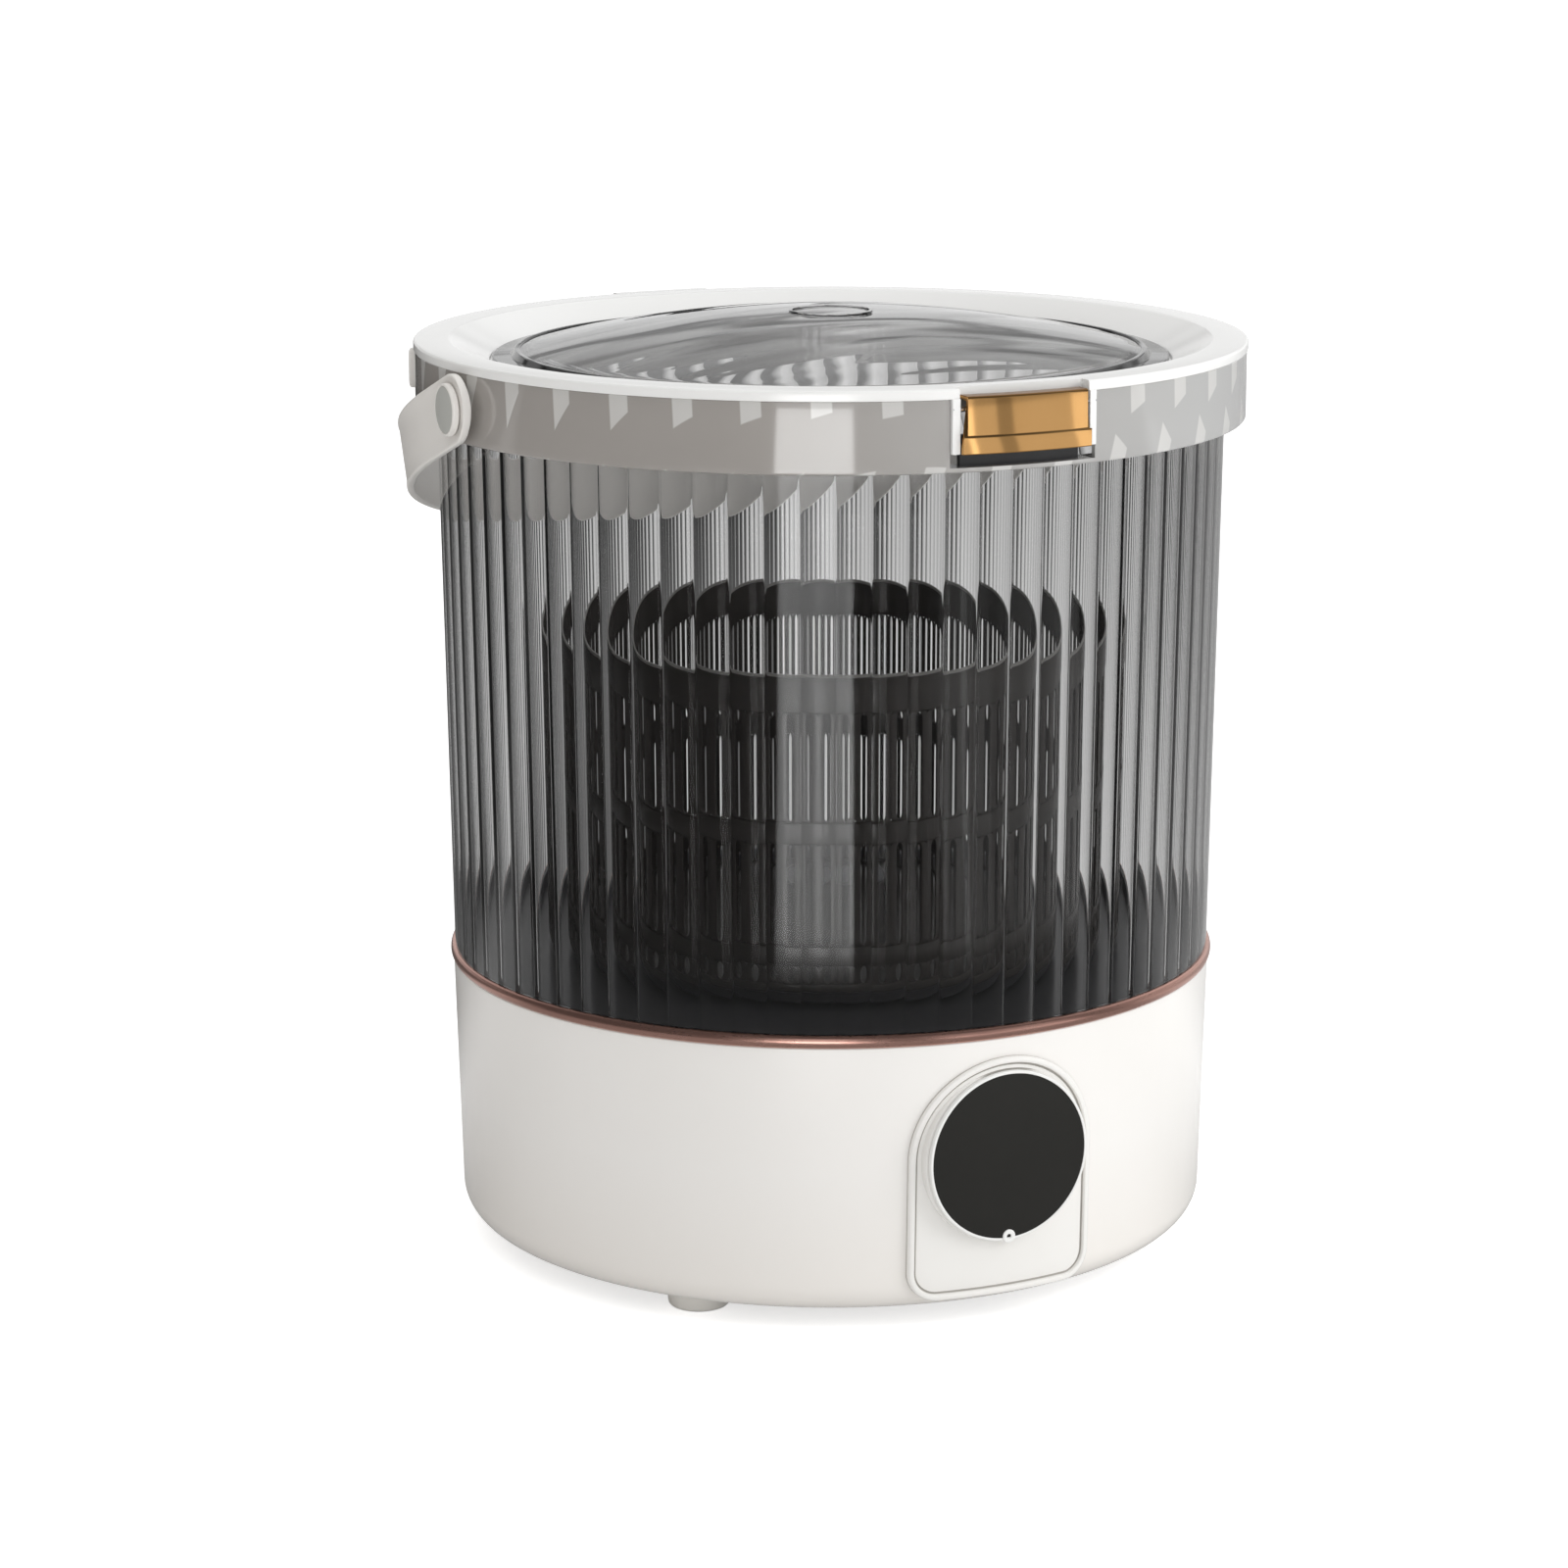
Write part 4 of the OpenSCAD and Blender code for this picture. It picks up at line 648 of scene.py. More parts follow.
# %% [markdown]
# ## The smooth band
# At its mouth the tub widens into a smooth milky band, with a clear splash rim inside it. Between the two is
# a channel that the lid closes. The front is cut away for the clasp, which is done after turning.

# %% Collar
COLLAR_WALL, WEB_T, SPLASH_T = mm(2.6, 2, 2.3)
SPLASH_R = TUB_R1 - FLUTE_DEPTH - TUB_WALL
Z_SPLASH = low("lid_gasket")[2] - 0.3 * MM
BAR_X, BAR_W = high("latch_flap")[0] + 0.3 * MM, 3.2 * MM
NOTCH_X = BAR_X + BAR_W + 0.3 * MM


def collar_outline():
    """The band and the web at its foot, as one closed section."""
    inner, start = BAND_R - COLLAR_WALL, SPLASH_R + SPLASH_T
    return rounded([
        (start, Z_BAND, 0), (BAND_R, Z_BAND, 1.2), (BAND_R, Z_LID, 0.4), (inner, Z_LID, 0.4),
        (inner, Z_BAND + WEB_T, 1), (start, Z_BAND + WEB_T, 0)], steps=5)


def splash_outline():
    """The upright splash rim inside the band."""
    outer = SPLASH_R + SPLASH_T
    return rounded([(SPLASH_R, Z_BAND, 0), (outer, Z_BAND, 0),
                    (outer, Z_SPLASH, 0.6), (SPLASH_R, Z_SPLASH, 0.6)], steps=4)


def cut_boxes(obj, boxes):
    """Cuts blocks, given by two corners each, out of a closed piece."""
    for corner_a, corner_b in boxes:
        a, b = np.array(corner_a), np.array(corner_b)
        pick = np.array([(x, y, z) for z in (0, 1) for x, y in ((0, 0), (1, 0), (1, 1), (0, 1))])
        sides = [(0, 3, 2, 1), (4, 5, 6, 7), (0, 1, 5, 4), (1, 2, 6, 5), (2, 3, 7, 6), (3, 0, 4, 7)]
        cutter = add_mesh("cutter", a + pick * (b - a), sides)
        cut = obj.modifiers.new("Cut", "BOOLEAN")
        cut.operation, cut.object, cut.solver = "DIFFERENCE", cutter, "EXACT"
        depsgraph = bpy.context.evaluated_depsgraph_get()
        result = bpy.data.meshes.new_from_object(obj.evaluated_get(depsgraph))
        obj.modifiers.clear()
        bpy.data.objects.remove(cutter)
        old, obj.data = obj.data, result
        bpy.data.meshes.remove(old)
    obj.data.shade_smooth()
    obj.data.set_sharp_from_angle(angle=math.radians(35))
    print(obj.name, "cut", len(obj.data.polygons), "faces")


collar = piece("smooth_band", *turned(collar_outline(), FINE), "housing", "collar_clear", ["tub_collar"])
splash = piece("splash_rim", *turned(splash_outline(), FINE), "housing", "smoky_clear", ["tub_collar"])
notch = ((-NOTCH_X, -BAND_R - 5 * MM, Z_BAND + WEB_T), (NOTCH_X, -BAND_R + 12 * MM, Z_LID + 1 * MM))
for part in (collar, splash):
    cut_boxes(part, [notch])

# %% [markdown]
# ## The lid
# The lid is a white ring, flat at its edge and sloping down inwards to a seat. The clear dome drops into the
# seat: a flat flange, a small step, a low dome and a little ring on its crown. Both are turned. The ring is
# cut away at the front for the clasp and at the back for the hinge.

# %% Lid ring
FLAT_R = LID_R - 14.5 * MM
SLOPE_T, SEAT_W, DOME_GAP = mm(2.5, 5, 0.7)
NOTCH_D = 8 * MM
HINGE_HALF, Y_HINGE = high("lid_hinge_arm")[0], midpoint("hinge_pin")[1]


def lid_outline():
    """Section of the lid ring: the flat edge, the slope and the seat for the dome."""
    seat_in, seat_out, under = DOME_R - SEAT_W, DOME_R + DOME_GAP, Z_SEAT - SLOPE_T
    return rounded([
        (seat_in, under, 0.5), (seat_out, under, 3), (FLAT_R - 1 * MM, Z_LID, 2),
        (LID_R, Z_LID, 0.6), (LID_R, Z_LID_TOP, 1.2), (FLAT_R, Z_LID_TOP, 1.2),
        (seat_out, Z_SEAT + 1 * MM, 2), (seat_out, Z_SEAT, 0), (seat_in, Z_SEAT, 0.3)], steps=6)


lid = piece("lid_rim", *turned(lid_outline(), FINE), "lid", "lid_white", ["lid_ring"])
over_lid, arm_half = Z_LID_TOP + 1 * MM, HINGE_HALF + 0.3 * MM
cut_boxes(lid, [
    ((-BAR_X, -LID_R - 5 * MM, Z_LID - 6 * MM), (BAR_X, NOTCH_D - LID_R, over_lid)),
    ((-arm_half, Y_HINGE - 4 * MM, Z_LID - 1 * MM), (arm_half, LID_R + 10 * MM, over_lid))])

# %% Lid dome
DOME_T, STEP_R, STEP_H, DOME_RISE = 2.2 * MM, DOME_R - 12.3 * MM, 2.2 * MM, 14.8 * MM
CROWN_R, CROWN_W, CROWN_H = mm(16.5, 1.6, 0.7)


def dome_outline():
    """Section of the dome: z = centre + sqrt(R R - r r) above, less its thickness below, and the flange."""
    z_step = Z_SEAT + DOME_T + STEP_H
    sphere = (STEP_R**2 + DOME_RISE**2) / (2 * DOME_RISE)
    centre = z_step + DOME_RISE - sphere

    def bowl(r, size, lift=0):
        return np.stack([r, centre + np.sqrt(size**2 - r**2) + lift], -1)

    r = STEP_R * np.linspace(1, 0, 40)
    top = bowl(r, sphere)
    ring = CROWN_R + CROWN_W * np.array([0.5, 0.4, -0.4, -0.5])
    bead = bowl(ring, sphere, CROWN_H * np.array([0, 1, 1, 0]))
    under = bowl(STEP_R * np.linspace(0, 0.985, 30), sphere - DOME_T)
    edge = rounded([
        (STEP_R + 1 * MM, Z_SEAT, 0.8), (DOME_R, Z_SEAT, 0.4), (DOME_R, Z_SEAT + DOME_T, 0.8),
        (STEP_R + 4.5 * MM, Z_SEAT + DOME_T, 1), (STEP_R + 3 * MM, z_step + 0.5 * MM, 0.8),
        (STEP_R + 0.8 * MM, z_step + 0.5 * MM, 0.6)], steps=4)
    outside, inside = r > CROWN_R + CROWN_W, r < CROWN_R - CROWN_W
    return np.concatenate([under, edge, top[outside], bead, top[inside]])


piece("clear_dome", *turned(dome_outline()), "lid", "dome_clear", ["lid_dome"], smooth=50)

# %% [markdown]
# ## The control panel
# The panel is an arch with a raised bead, laid on the curved base, with a round boss behind the knob. It is
# drawn as a family of outlines: each outline is the arch drawn in by a little more, and has its own height
# above the base. Past the bead the outlines turn from the arch into the circle of the boss.

# %% Panel surface
PANEL_HALF, PANEL_CORNER, PANEL_T = mm(40.5, 12, 1)
Z_PANEL = low("control_panel")[2]
BOSS_R = 35.6 * MM
BOSS_Y = -(wall_radius(Z_KNOB) + PANEL_T + 0.3 * MM)


def arch(inset):
    """The arch drawn in by inset: a half circle, two sides and two round corners, in fixed steps."""
    half, corner, bottom = PANEL_HALF - inset, PANEL_CORNER - inset, Z_PANEL + inset
    head, turn, side, floor = [np.linspace(0, 1, count, endpoint=False) for count in (64, 14, 16, 24)]
    c, s = corner * np.cos(math.pi / 2 * turn), corner * np.sin(math.pi / 2 * turn)
    knee = bottom + corner
    parts = [
        (half * np.cos(math.pi * head), Z_KNOB + half * np.sin(math.pi * head)),
        (-half + 0 * side, Z_KNOB + (knee - Z_KNOB) * side),
        (corner - half - c, knee - s),
        ((corner - half) * (1 - 2 * floor), bottom + 0 * floor),
        (half - corner + s, knee - c),
        (half + 0 * side, knee + (Z_KNOB - knee) * side)]
    return np.concatenate([np.stack(part, -1) for part in parts])


def panel_rows():
    """Rows of points: the back from its middle outwards, over the bead, then in to the boss's middle."""
    rows = []

    def on_base(outline, lift, surface):
        x, z = outline.T
        rows.append(on_front(x, surface(z) + lift, z))

    def towards_boss(outline, share, r):
        from_knob = outline - [0, Z_KNOB]
        circle = from_knob / np.linalg.norm(from_knob, axis=1, keepdims=True) * r
        return [0, Z_KNOB] + from_knob * (1 - share) + circle * share

    edge = arch(0)
    for share in (1, 0.66, 0.33, 0):
        on_base(towards_boss(edge, share, 0.0), 0.06 * MM, base_surface)
    bead = [(0, 0.9), (0.02, 1.7), (0.25, 2.15), (0.8, 2.4), (1.6, 2.4), (2.2, 2.3), (2.5, 1.9), (2.7, 0.5),
            (3.3, 0.4), (3.5, 0.9), (3.8, 1)]
    for inset, lift in bead:
        on_base(arch(inset * MM), lift * MM, wall_radius)
    inner = arch(bead[-1][0] * MM)
    for share in (0.2, 0.4, 0.6, 0.8, 0.95, 1):
        on_base(towards_boss(inner, share, BOSS_R), PANEL_T, wall_radius)
    for r, y in ((BOSS_R, BOSS_Y + 0.3 * MM), (BOSS_R - 0.3 * MM, BOSS_Y), (20 * MM, BOSS_Y), (0, BOSS_Y)):
        x, z = towards_boss(inner, 1, r).T
        rows.append(np.stack([x, np.full_like(x, y), z], -1))
    return np.array(rows)


rows = panel_rows()
piece("arched_panel", rows, grid_faces(len(rows), rows.shape[1], False), "housing", "panel_plastic",
      ["control_panel"], smooth=45)

# %% [markdown]
# ## The timer knob
# The knob is a flat disc with a thin white rim, a bare black face and a small white nub with a dot, which
# shows where it points. Disc, face and nub are turned about the knob's own axis and then faced to the front.

# %% Knob, face and nub
KNOB_R = high("timer_knob")[0]
KNOB_BACK, KNOB_FRONT = -high("timer_knob")[1], -low("timer_knob")[1]
RIM_W, FACE_T, NUB_R = mm(1.2, 0.6, 2.8)
NUB_DROP = 33.2 * MM


def knob_outline():
    """Back, round edge, thin rim and the step down to the seat of the face."""
    inner, seat = KNOB_R - RIM_W, KNOB_FRONT - FACE_T
    return rounded([
        (0, KNOB_BACK, 0), (KNOB_R - 0.6 * MM, KNOB_BACK, 0.4), (KNOB_R, KNOB_BACK + 0.7 * MM, 0.6),
        (KNOB_R, KNOB_FRONT, 0.6), (inner, KNOB_FRONT, 0.2), (inner, seat, 0), (0, seat, 0)], steps=5)


def disc_outline(r, bottom, top, edge, steps):
    """A thin disc, whose upper edge is rounded by this many millimetres."""
    return rounded([(0, bottom, 0), (r, bottom, 0), (r, top, edge), (0, top, 0)], steps)


def nub_outline():
    """A short peg with a round edge and a small dimple in its middle."""
    bottom, top = KNOB_BACK + 1 * MM, KNOB_FRONT + 0.5 * MM
    return rounded([
        (0, bottom, 0), (NUB_R, bottom, 0), (NUB_R, top, 0.5), (1.1 * MM, top, 0.2),
        (0.8 * MM, top - 0.7 * MM, 0), (0, top - 0.7 * MM, 0)], steps=4)


face = disc_outline(KNOB_R - RIM_W - 0.05 * MM, KNOB_FRONT - FACE_T, KNOB_FRONT - 0.05 * MM, 0.2, 4)
for name, outline, z, slot, node in (
        ("timer_dial", knob_outline(), Z_KNOB, "knob_white", "timer_knob"),
        ("dial_face", face, Z_KNOB, "knob_black", "knob_face"),
        ("dial_nub", nub_outline(), Z_KNOB - NUB_DROP, "knob_white", "knob_pointer")):
    points, faces = turned(outline, 160)
    piece(name, facing_front(points, z), faces, "knob", slot, [node])

# %% [markdown]
# ## The gold clasp
# The clasp is one pressed plate that follows the band's curve. Its top folds back over the lid, where its pin
# is, and its lower edge is a wider lip to lift it by. The section is swept round the band, and its half width
# grows at the lip.

# %% Clasp
FLAP_OUT = -low("latch_flap")[1]
FLAP_HALF, FLAP_SIDE, FLAP_LIP = high("latch_flap")[0], 1.7 * MM, 7.2 * MM


def flap_section():
    """The plate's section: up its curved front, over the fold to the pin, and back down inside."""
    front, back, fold = FLAP_OUT, FLAP_OUT - 2.2 * MM, FLAP_OUT - 7.6 * MM
    plate, lip = FLAP_OUT - 0.5 * MM, Z_FLAP + FLAP_LIP
    return rounded([
        (back - 0.2 * MM, Z_FLAP, 0.3), (front, Z_FLAP, 0.6), (front, lip - 0.6 * MM, 0.8),
        (plate, lip, 0.6), (plate, Z_FLAP_TOP, 1.2), (fold, Z_FLAP_TOP, 0.4),
        (fold, Z_FLAP_TOP - 1.3 * MM, 0), (back, Z_FLAP_TOP - 1.8 * MM, 0.4), (back, Z_FLAP + 3 * MM, 0)],
        steps=5)


def flap_shape():
    """The section swept across the clasp, narrower towards its lip."""
    r, z = flap_section().T
    width = FLAP_HALF - FLAP_SIDE * np.clip((z - Z_FLAP - FLAP_LIP + 0.4 * MM) / (0.4 * MM), 0, 1)
    x = np.outer(width, np.linspace(-1, 1, 41))
    return on_front(x, r[:, None], z[:, None]), grid_faces(*x.shape, True, False)


piece("gold_clasp", *flap_shape(), "clasp", "gold", ["latch_flap"], 35, bevel=0.25 * MM, fill=True)

# %% [markdown]
# ## The white bars beside the clasp
# Two short bars hang from the lid on either side of the clasp and carry its pin. They are part of the lid's
# moulding and follow the band's curve.

# %% Bars
def bar_shape(side):
    """A curved bar: x across its width, the radius through its depth and z down from the lid."""
    front, back, top = LID_R + 0.9 * MM, BAND_R - 5 * MM, Z_LID + 0.5 * MM
    r, z = rounded([(front, Z_FLAP, 0.6), (front, top, 0.6), (back, top, 0), (back, Z_FLAP, 0.6)],
                   steps=4).T
    x = side * (BAR_X + BAR_W * np.linspace(0, 1, 4))
    return on_front(x, r[:, None], z[:, None]), grid_faces(len(r), len(x), True, False)


for side, name in ((-1, "left_clasp_bar"), (1, "right_clasp_bar")):
    piece(name, *bar_shape(side), "lid", "lid_white", smooth=35, bevel=0.3 * MM, fill=True)

# %% [markdown]
# ## The carrying handle
# The handle is a flat strap bent into a bow, with a rounded end on each pivot. Its centre line is straight
# along each arm and a half circle round the back. The section is a thin rounded bar with a slightly raised
# edge, and its width closes in a half circle past each pivot.

# %% Handle
STRAP_W, STRAP_T = mm(28, 3)
BOW_R = BAND_R + 1.8 * MM
LEAN = math.radians(20)
BOW_REACH = (TUB_R1 + 1.8 * MM + STRAP_W / 2 * math.sin(LEAN) - Y_PIVOT) / math.cos(LEAN)
ARM = BOW_REACH - BOW_R


def strap_section():
    """Half widths (-1 to 1) and depths (0 inside, 1 outside) of the strap, with a rim along each edge."""
    rim, fall = 0.86, 0.9
    side = [(1, 0.15), (1, 0.8), (0.985, 0.95), (0.96, 1), (rim + 0.03, 1), (rim, fall)]
    middle = [(0.5, fall), (0, fall), (-0.5, fall)]
    other_side = [(-w, d) for w, d in side[::-1]]
    inner = [(-0.985, 0.03), (-0.96, 0), (-0.5, 0), (0, 0), (0.5, 0), (0.96, 0), (0.985, 0.03)]
    return np.array(side + middle + other_side + inner)


def strap_shape():
    """The section carried along arm, half circle and arm, in the handle's own plane, then leaned back."""
    half = STRAP_W / 2
    tip = half * -np.cos(np.linspace(0, math.pi / 2, 14))
    arm = np.linspace(0, ARM, 8)[1:]
    turn = np.linspace(0, math.pi, 97)[1:-1]
    along = np.concatenate([tip, arm])
    width = np.sqrt(np.clip(1 - (np.minimum(along, 0) / half) ** 2, 0, 1))
    across, depth = strap_section().T * [[half], [STRAP_T]]

    def station(x, y, out_x, out_y, w):
        """Points of the section at one place, with its outward direction and its share of the full width."""
        return np.stack([x + out_x * depth, y + out_y * depth, across * w], -1)

    rows = [station(BOW_R, s, 1, 0, w) for s, w in zip(along, width)]
    rows += [station(BOW_R * c, ARM + BOW_R * s, c, s, 1) for c, s in zip(np.cos(turn), np.sin(turn))]
    rows += [station(-BOW_R, s, -1, 0, w) for s, w in zip(along[::-1], width[::-1])]
    x, y, z = np.moveaxis(np.array(rows), -1, 0)
    c, s = math.cos(LEAN), math.sin(LEAN)
    leaned = np.stack([x, y * c + z * s + Y_PIVOT, z * c - y * s + Z_PIVOT], -1)
    return leaned, grid_faces(len(rows), len(across), False)


piece("strap_handle", *strap_shape(), "handle", "handle_plastic", ["carry_handle"], smooth=50)

# %% [markdown]
# ## The pivot buttons
# Each pivot is a stud through the band with a round button on its outer end. A thinner disc fills the button
# and is a little cooler in colour.

# %% Buttons and caps
BUTTON_R, BUTTON_T, CAP_R = mm(10.5, 2.7, 9.25)
BUTTON_X = BOW_R + STRAP_T + 0.3 * MM
STUD_R = 5 * MM


def stud_outline():
    """Shaft through the band, inner washer, thin neck through the strap and the button with its seat."""
    start, band, seat = BAND_R - 6 * MM, BAND_R + 0.1 * MM, BOW_R - 0.3 * MM
    face, well_r = BUTTON_X + BUTTON_T, CAP_R + 0.05 * MM
    well = face - 0.6 * MM
    return rounded([
        (0, start, 0), (STUD_R, start, 0.5), (STUD_R, band, 0), (BUTTON_R, band, 0.2),
        (BUTTON_R, seat, 0.2), (STUD_R, seat, 0), (STUD_R, BUTTON_X, 0), (BUTTON_R, BUTTON_X, 0.4),
        (BUTTON_R, face, 0.9), (well_r, face, 0.4), (well_r, well, 0), (0, well, 0)], steps=4)


def joined(parts):
    """Several grids as one set of points and faces."""
    offsets = np.cumsum([0] + [len(points) for points, _ in parts[:-1]])
    all_faces = [faces + offset for (_, faces), offset in zip(parts, offsets)]
    return np.concatenate([points for points, _ in parts]), np.concatenate(all_faces)


def on_both_sides(outline):
    """The outline turned into a solid and set on the left and the right pivot."""
    points, faces = turned(outline, 96)
    return joined([(facing_side(points, side), faces) for side in (-1, 1)])


piece("pivot_buttons", *on_both_sides(stud_outline()), "housing", "handle_plastic", ["handle_studs"])
cap = disc_outline(CAP_R, BUTTON_X + BUTTON_T - 0.6 * MM, BUTTON_X + BUTTON_T - 0.1 * MM, 0.3, 3)
piece("button_discs", *on_both_sides(cap), "housing", "grey_plastic", ["stud_caps"])

# %% [markdown]
# ## The handle stops
# A small rounded lug stands out from the band on each side and stops the handle. It is a pad with a soft
# edge, made of stadium outlines, each drawn in a little more and a little further out.

# %% Stops
STOP_ANGLE, STOP_H, STOP_W = math.radians(116), 16.5 * MM, 10 * MM
Z_STOP = Z_LID - 1.6 * MM - STOP_H / 2


def stop_shape(side):
    """Stadium outlines carried outwards: x across, z up and the radius out, turned to the stop's angle."""
    a = np.linspace(0, 2 * math.pi, 48, endpoint=False)
    levels = [(5, 0.05), (0, 0.05), (0, 2.0), (0.3, 2.6), (0.9, 2.95), (1.8, 3), (5, 3)]
    rows = []
    for inset, out in levels:
        r = max(STOP_W / 2 - inset * MM, 0)
        flat = (STOP_H - STOP_W) / 2 * (1 if r > 0 else 0)
        up = r * np.sin(a) + flat * np.sign(np.round(np.sin(a), 6))
        rows.append(on_front(r * np.cos(a), BAND_R + out * MM, up + Z_STOP))
    x, y, z = np.array(rows).reshape(-1, 3).T
    c, s = math.cos(side * STOP_ANGLE), math.sin(side * STOP_ANGLE)
    return np.stack([x * c - y * s, x * s + y * c, z], -1), grid_faces(len(rows), 48, False)


piece("handle_lugs", *joined([stop_shape(-1), stop_shape(1)]), "housing", "handle_plastic", ["handle_stops"])

# %% [markdown]
# ## The feet
# Four off-white rubber feet are turned: a flat sole, a soft edge, a slightly bulged side and the peg that is
# pushed into the bottom plate.

# %% Feet
FOOT_R, SOLE_R, PEG_R = mm(13, 12.3, 4)
FOOT_RING = BASE_R - 29.6 * MM


def foot_shape(angle):
    """One foot's section turned about its own axis and moved to its place under the base."""
    section = rounded([
        (0, 0, 0), (SOLE_R, 0, 2), (FOOT_R, Z_BASE * 0.7, 4), (FOOT_R, Z_BASE, 0.4),
        (PEG_R, Z_BASE, 0), (PEG_R, Z_BASE + PLATE_T, 0), (0, Z_BASE + PLATE_T, 0)], steps=5)
    points, faces = turned(section, 64)
    return points + polar(FOOT_RING, angle, 0), faces


feet = [foot_shape(math.radians(angle)) for angle in (-140, -40, 40, 140)]
piece("rubber_feet", *joined(feet), "housing", "foot_rubber", ["feet"])

# %% [markdown]
# ## The basket
# The basket's wall has three rows of upright slots between smooth bands. One slot and the wall round it is a
# cell: rings of points go from the slot's round-ended outline to the cell's square edge. The cell is copied
# round the basket and bent onto its radius, and the sheet is then given its thickness.

# %% Basket wall
BASKET_R, BASKET_T = mm(106, 2)
SLOTS, SLOT_W = 44, 6 * MM
Z_BASKET_TOP, RIM_BAND = high("basket")[2], 15.4 * MM
BAND_EDGES = low("basket")[2] + np.array([0, 3.5, 11, 19, 61, 70]) * MM
LEVELS = [*BAND_EDGES, Z_BASKET_TOP - RIM_BAND, Z_BASKET_TOP]


def slot_cell(z0, z1):
    """Rings from a stadium-shaped slot to a rectangle, as (across, up), with as many points on each ring."""
    pitch = 2 * math.pi * BASKET_R / SLOTS
    half, tall, r = pitch / 2, (z1 - z0) / 2, SLOT_W / 2
    a = np.linspace(0, 2 * math.pi, 32, endpoint=False) + math.pi / 32
    c, s = np.cos(a), np.sin(a)
    straight = max(tall - r - 0.3 * MM, 0) * np.sign(s)
    reach = np.minimum(half / np.abs(c), (r + 0.3 * MM) / np.abs(s))
    slot, edge = np.stack([r * c, r * s + straight], -1), np.stack([reach * c, reach * s + straight], -1)
    return np.stack([slot, edge]), (z0 + z1) / 2


def slot_row(z0, z1):
    """All the cells of one row of slots, bent onto the basket's radius."""
    rings, middle = slot_cell(z0, z1)
    turn = 2 * math.pi / SLOTS * np.arange(SLOTS)
    angle = turn[:, None, None] + rings[None, ..., 0] / BASKET_R
    points = polar(BASKET_R, angle, rings[..., 1] + middle).reshape(SLOTS, -1, 3)
    cell = grid_faces(2, rings.shape[1], False)
    return joined([(cell_points, cell) for cell_points in points])


points, faces = joined([slot_row(*span) for span in zip(LEVELS[1::2], LEVELS[2::2])])
sheet = piece("basket_slots", points, faces, "rotor", "basket_black", ["basket"])
thick = sheet.modifiers.new("Solidify", "SOLIDIFY")
thick.thickness, thick.offset = BASKET_T, -1
soft = sheet.modifiers.new("Bevel", "BEVEL")
soft.width, soft.segments, soft.limit_method = 0.25 * MM, 2, "ANGLE"


def band_outline(z0, z1):
    """A solid band round the wall with soft edges. The one at the rim is thicker and rounder."""
    out, top = (1.2, 1.3) if z1 == Z_BASKET_TOP else (0.6, 0.5)
    r0, r1 = BASKET_R - BASKET_T - 0.4 * MM, BASKET_R + out * MM
    return rounded([(r0, z0, 0.5), (r1, z0, 0.5), (r1, z1, top), (r0, z1, top)], steps=4)


bands = [turned(band_outline(*span)) for span in zip(LEVELS[0::2], LEVELS[1::2])]
piece("basket_bands", *joined(bands), "rotor", "basket_black")

# %% [markdown]
# ## The pieces that keep their frame shape
# Inside the base and on the hinge, the frame's own pieces are already right. They get the finish of their
# slot, which replaces the plain colour that they came with.

# %% Finishes on the frame's nodes
slots = {part["node"]: part["material_slot"] for part in frame["record"]["subparts"]}
for node, obj in frame["nodes"].items():
    obj.data.materials.clear()
    obj.data.materials.append(FINISHES[slots[node]])
print(len(slots), "nodes have their finish")

# %% [markdown]
# ## Studio
# A pale floor and soft light show colours about as they are written. The camera sees pure white behind the
# machine. Clear plastic and gold see more, because they need something bright and something dark to show
# their shape. Reflections show upright panels: a bright one leaves the long patch on the tub, and a few thin
# ones draw lines on the clasp. Through the tub, the floor behind is greyer, most of all on the left. Light
# Path keeps all of this from lighting the machine. Two soft lamps do that from the front, unmirrored.

# %% Floor, world and lamps
def show_to_rays(f):
    """1 for rays from the camera, from metal and through glass, and 0 for rays that only carry light."""
    return f.maths("MAXIMUM", f.ray("Camera"), f.maths("MAXIMUM", f.ray("Glossy"), f.ray("Transmission")))


def panels(f):
    """What polished surfaces see by compass angle, as bright and dark upright panels: 1 is white."""
    turn = f.maths("ARCTAN2", f.axis("X"), 0 - f.axis("Y")) * math.degrees(1)
    level = turn.between(-40, -20, 1) * 5.0
    for start, end, step in ((4, 47, 0.75), (9.8, 11.4, 1.3), (18, 22.5, -0.4), (40, 45, 0.6)):
        level = level + turn.between(start, end, 0.8) * step
    return level


FLOOR_R = 40.0


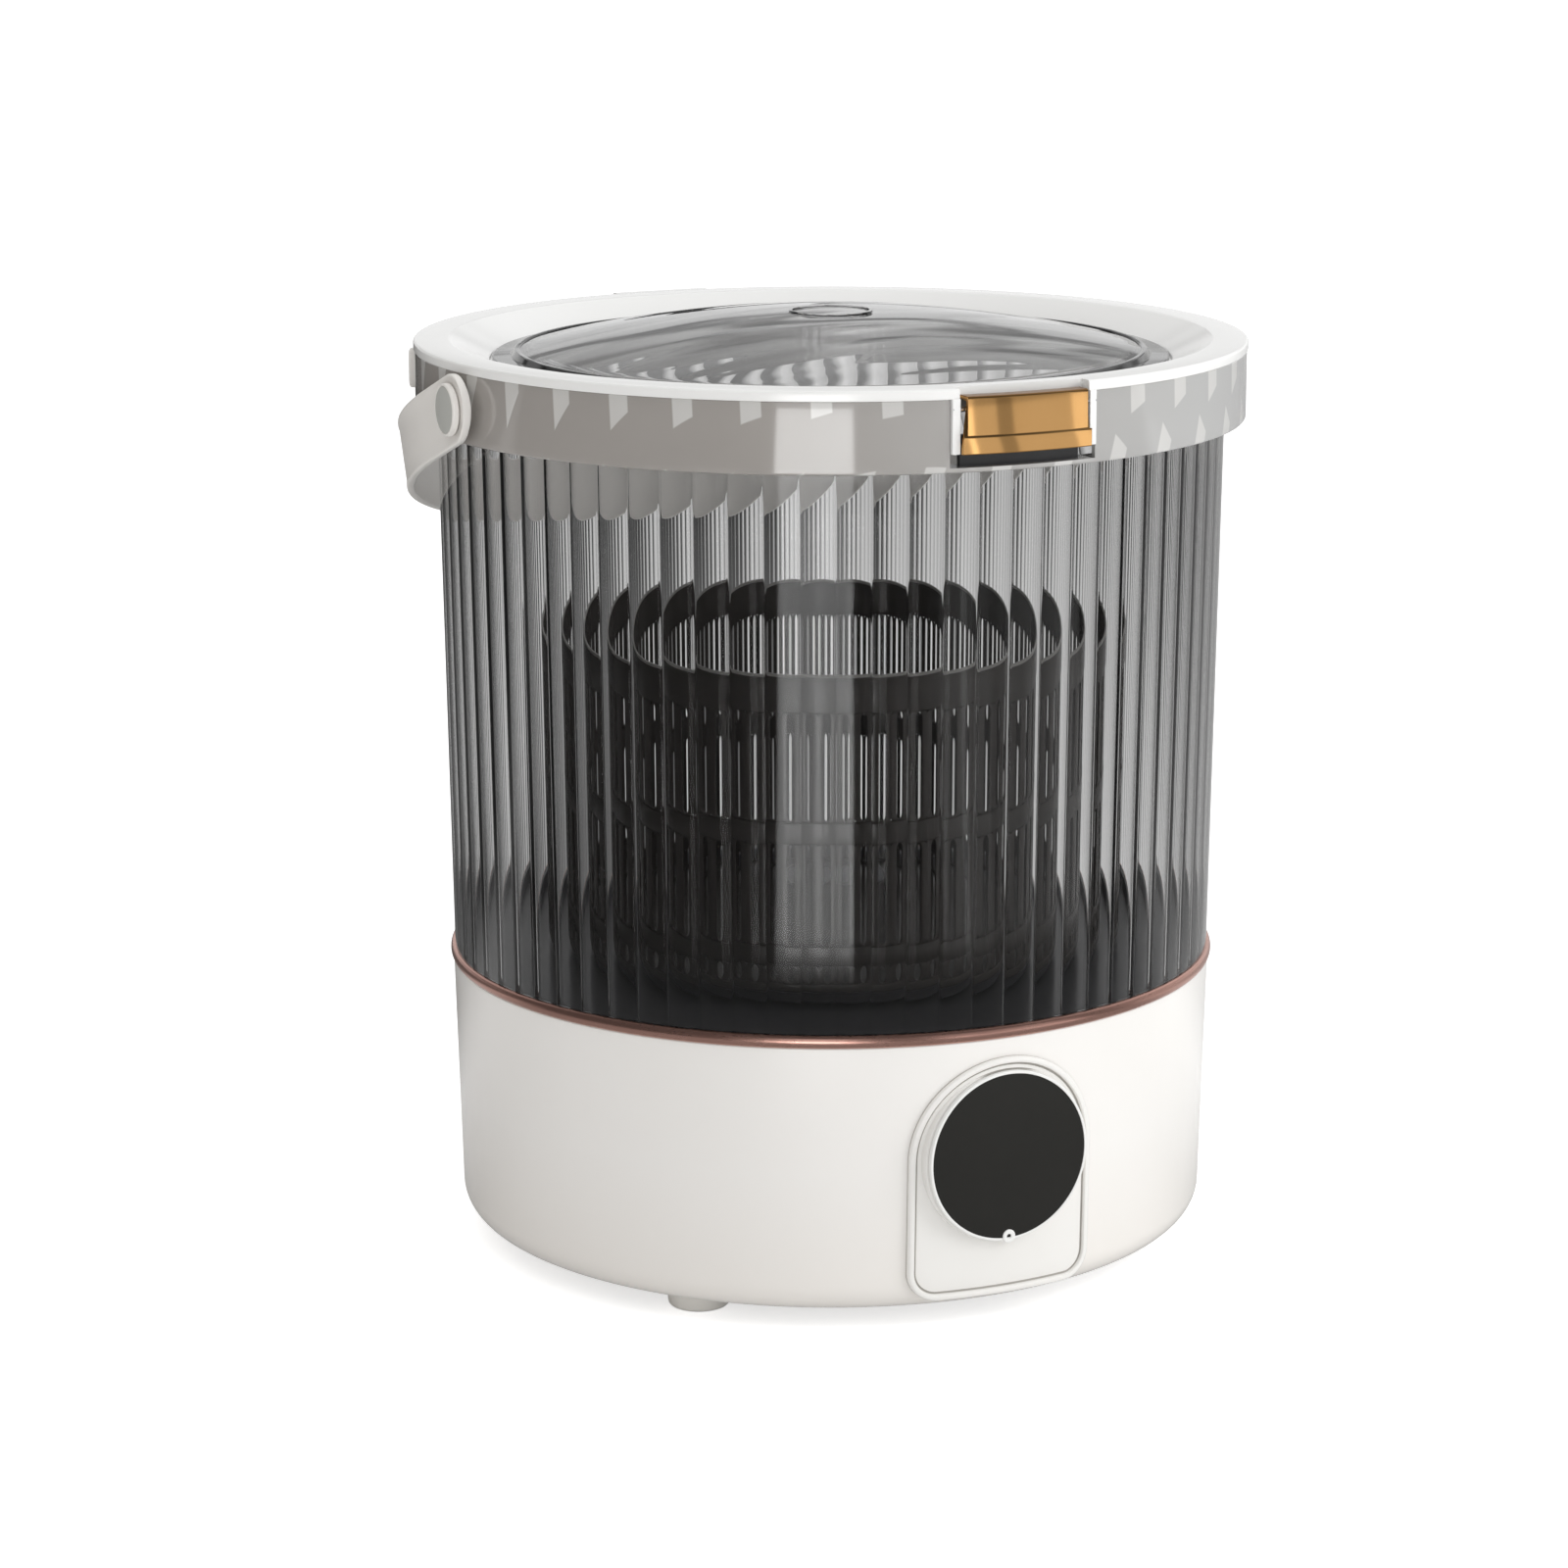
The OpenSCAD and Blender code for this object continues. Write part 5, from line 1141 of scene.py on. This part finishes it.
def stage_floor():
    """A pale disc, far wider than the machine, a little lifted in brightness for the eye alone."""
    edge = turned([(FLOOR_R, 0)], 96)[0]
    floor = add_mesh("floor", edge, [range(len(edge))])
    f = Finish("studio_floor")
    polished = f.ray("Glossy")
    behind = f.along(VIEW).above(0.15, 0.3)
    left_side, right_side = f.along(LEFT).above(0.03, 0.22), (0 - f.along(LEFT)).above(0.25, 0.3)
    deep = f.along(VIEW).above(1.5, 0.8)
    shade = polished * behind * (left_side * (deep * 0.06 + 0.42) + right_side * 0.16 + 0.5)
    mirrored = polished * (1 - behind)
    r = f.radius()
    far = (r * r).above(0.45, 0.12)
    shine = mirrored * (panels(f) * far + 0.3 - far * 0.24)
    lift = f.mix(show_to_rays(f) * (1 - shade) * (1 - mirrored), grey(0.0), grey(0.6))
    cloud = f.mix(f.noise(0.4), grey(0.9), grey(0.88))
    colour_map = f.mix(f.maths("MAXIMUM", mirrored, shade), cloud, grey(0.03))
    paint = f.add("BsdfDiffuse", {"Color": colour_map})
    glow = f.add("Emission", {"Color": lift, "Strength": 1.0})
    panel_glow = f.add("Emission", {"Color": grey(1.0), "Strength": shine})
    both_glows = f.add("AddShader", {0: glow, 1: panel_glow})
    floor.data.materials.append(f.finish(f.add("AddShader", {0: paint, 1: both_glows})))


def studio_world():
    """White for the camera, a studio with a dark side for glass and metal, and an even grey as light."""
    w = Finish("studio", world=True)
    up = w.axis("Z")
    panel = panels(w) * (1 - up.above(0.5, 0.4)) * 0.5
    bars = up.between(0.16, 0.23, 0.03) * 0.5 + up.between(0.3, 0.35, 0.03) * 0.4
    level = w.along(VIEW).above(0.3, 0.9) * (0.86 - bars) + 0.1 + panel - w.along(LEFT).above(0.45, 0.6) * 0.4
    level = w.maths("MAXIMUM", level, 0.1)
    level = level * (1 - w.ray("Transmission") * (w.along(LEFT).above(0.03, 0.2) * 0.5 + 0.32))
    seen = w.maths("MAXIMUM", w.ray("Camera"), level)
    shown = w.add("Background", {"Color": w.mix(seen, grey(0.0), grey(1.0)), "Strength": 1.0})
    sky = w.mix(up.above(0.5, 0.9), grey(0.48), grey(1.0))
    dusk = w.along(LEFT).above(0.35, 0.9) * (1 - up.above(0.5, 0.9))
    light = w.add("Background", {"Color": w.mix(dusk, sky, (0.25, 0.22, 0.19, 1)), "Strength": 1.0})
    bpy.context.scene.world = w.finish(w.add("MixShader", {0: show_to_rays(w), 1: light, 2: shown}))


MACHINE_MIDDLE = Vector((0, 0, 0.2))


def aim(obj, place, look):
    """Puts a lamp or camera at a place, so that it looks in this direction."""
    obj.location, obj.rotation_mode = place, "QUATERNION"
    obj.rotation_quaternion = look.to_track_quat("-Z", "Y")


def lamp(name, turn, up, away, width, height, power):
    """An upright lamp, turned this far round from the front, that looks at the machine and isn't mirrored."""
    data = bpy.data.lights.new(name, "AREA")
    data.shape, data.size, data.size_y, data.energy = "RECTANGLE", width, height, power
    obj = add_object(name, data)
    angle = math.radians(turn)
    place = Vector((away * math.sin(angle), -away * math.cos(angle), up))
    aim(obj, place, MACHINE_MIDDLE - place)
    obj.visible_glossy = obj.visible_transmission = False


stage_floor()
studio_world()
lamp("low_light", -24, 0.36, 2.4, 0.7, 0.7, 6.0)
lamp("wide_light", 44, 1.1, 2.2, 1.3, 1.9, 20.5)

# %% [markdown]
# ## Camera
# The camera stands where the photograph was taken: a little to the left of the front and about half a metre
# above the ring, looking slightly down. A small sideways shift puts the machine's axis where the photograph
# has it.

# %% Camera and view
CAMERA_TILT, CAMERA_AWAY, CAMERA_UP = math.radians(12.96), 1.832, Z_RING + 0.491
LENS, AXIS_PIXEL, IMAGE_WIDTH = 102.35, 847.7, 1600

camera_data = bpy.data.cameras.new("camera")
camera_data.lens, camera_data.sensor_width = LENS, 36.0
camera_data.shift_x = (IMAGE_WIDTH / 2 - AXIS_PIXEL) / IMAGE_WIDTH
camera = add_object("camera", camera_data)
place = Vector((0, 0, CAMERA_UP)) - CAMERA_AWAY * Vector(VIEW)
aim(camera, place, math.cos(CAMERA_TILT) * Vector(VIEW) - Vector((0, 0, math.sin(CAMERA_TILT))))
bpy.context.scene.camera = camera
bpy.context.scene.view_settings.view_transform = "Standard"
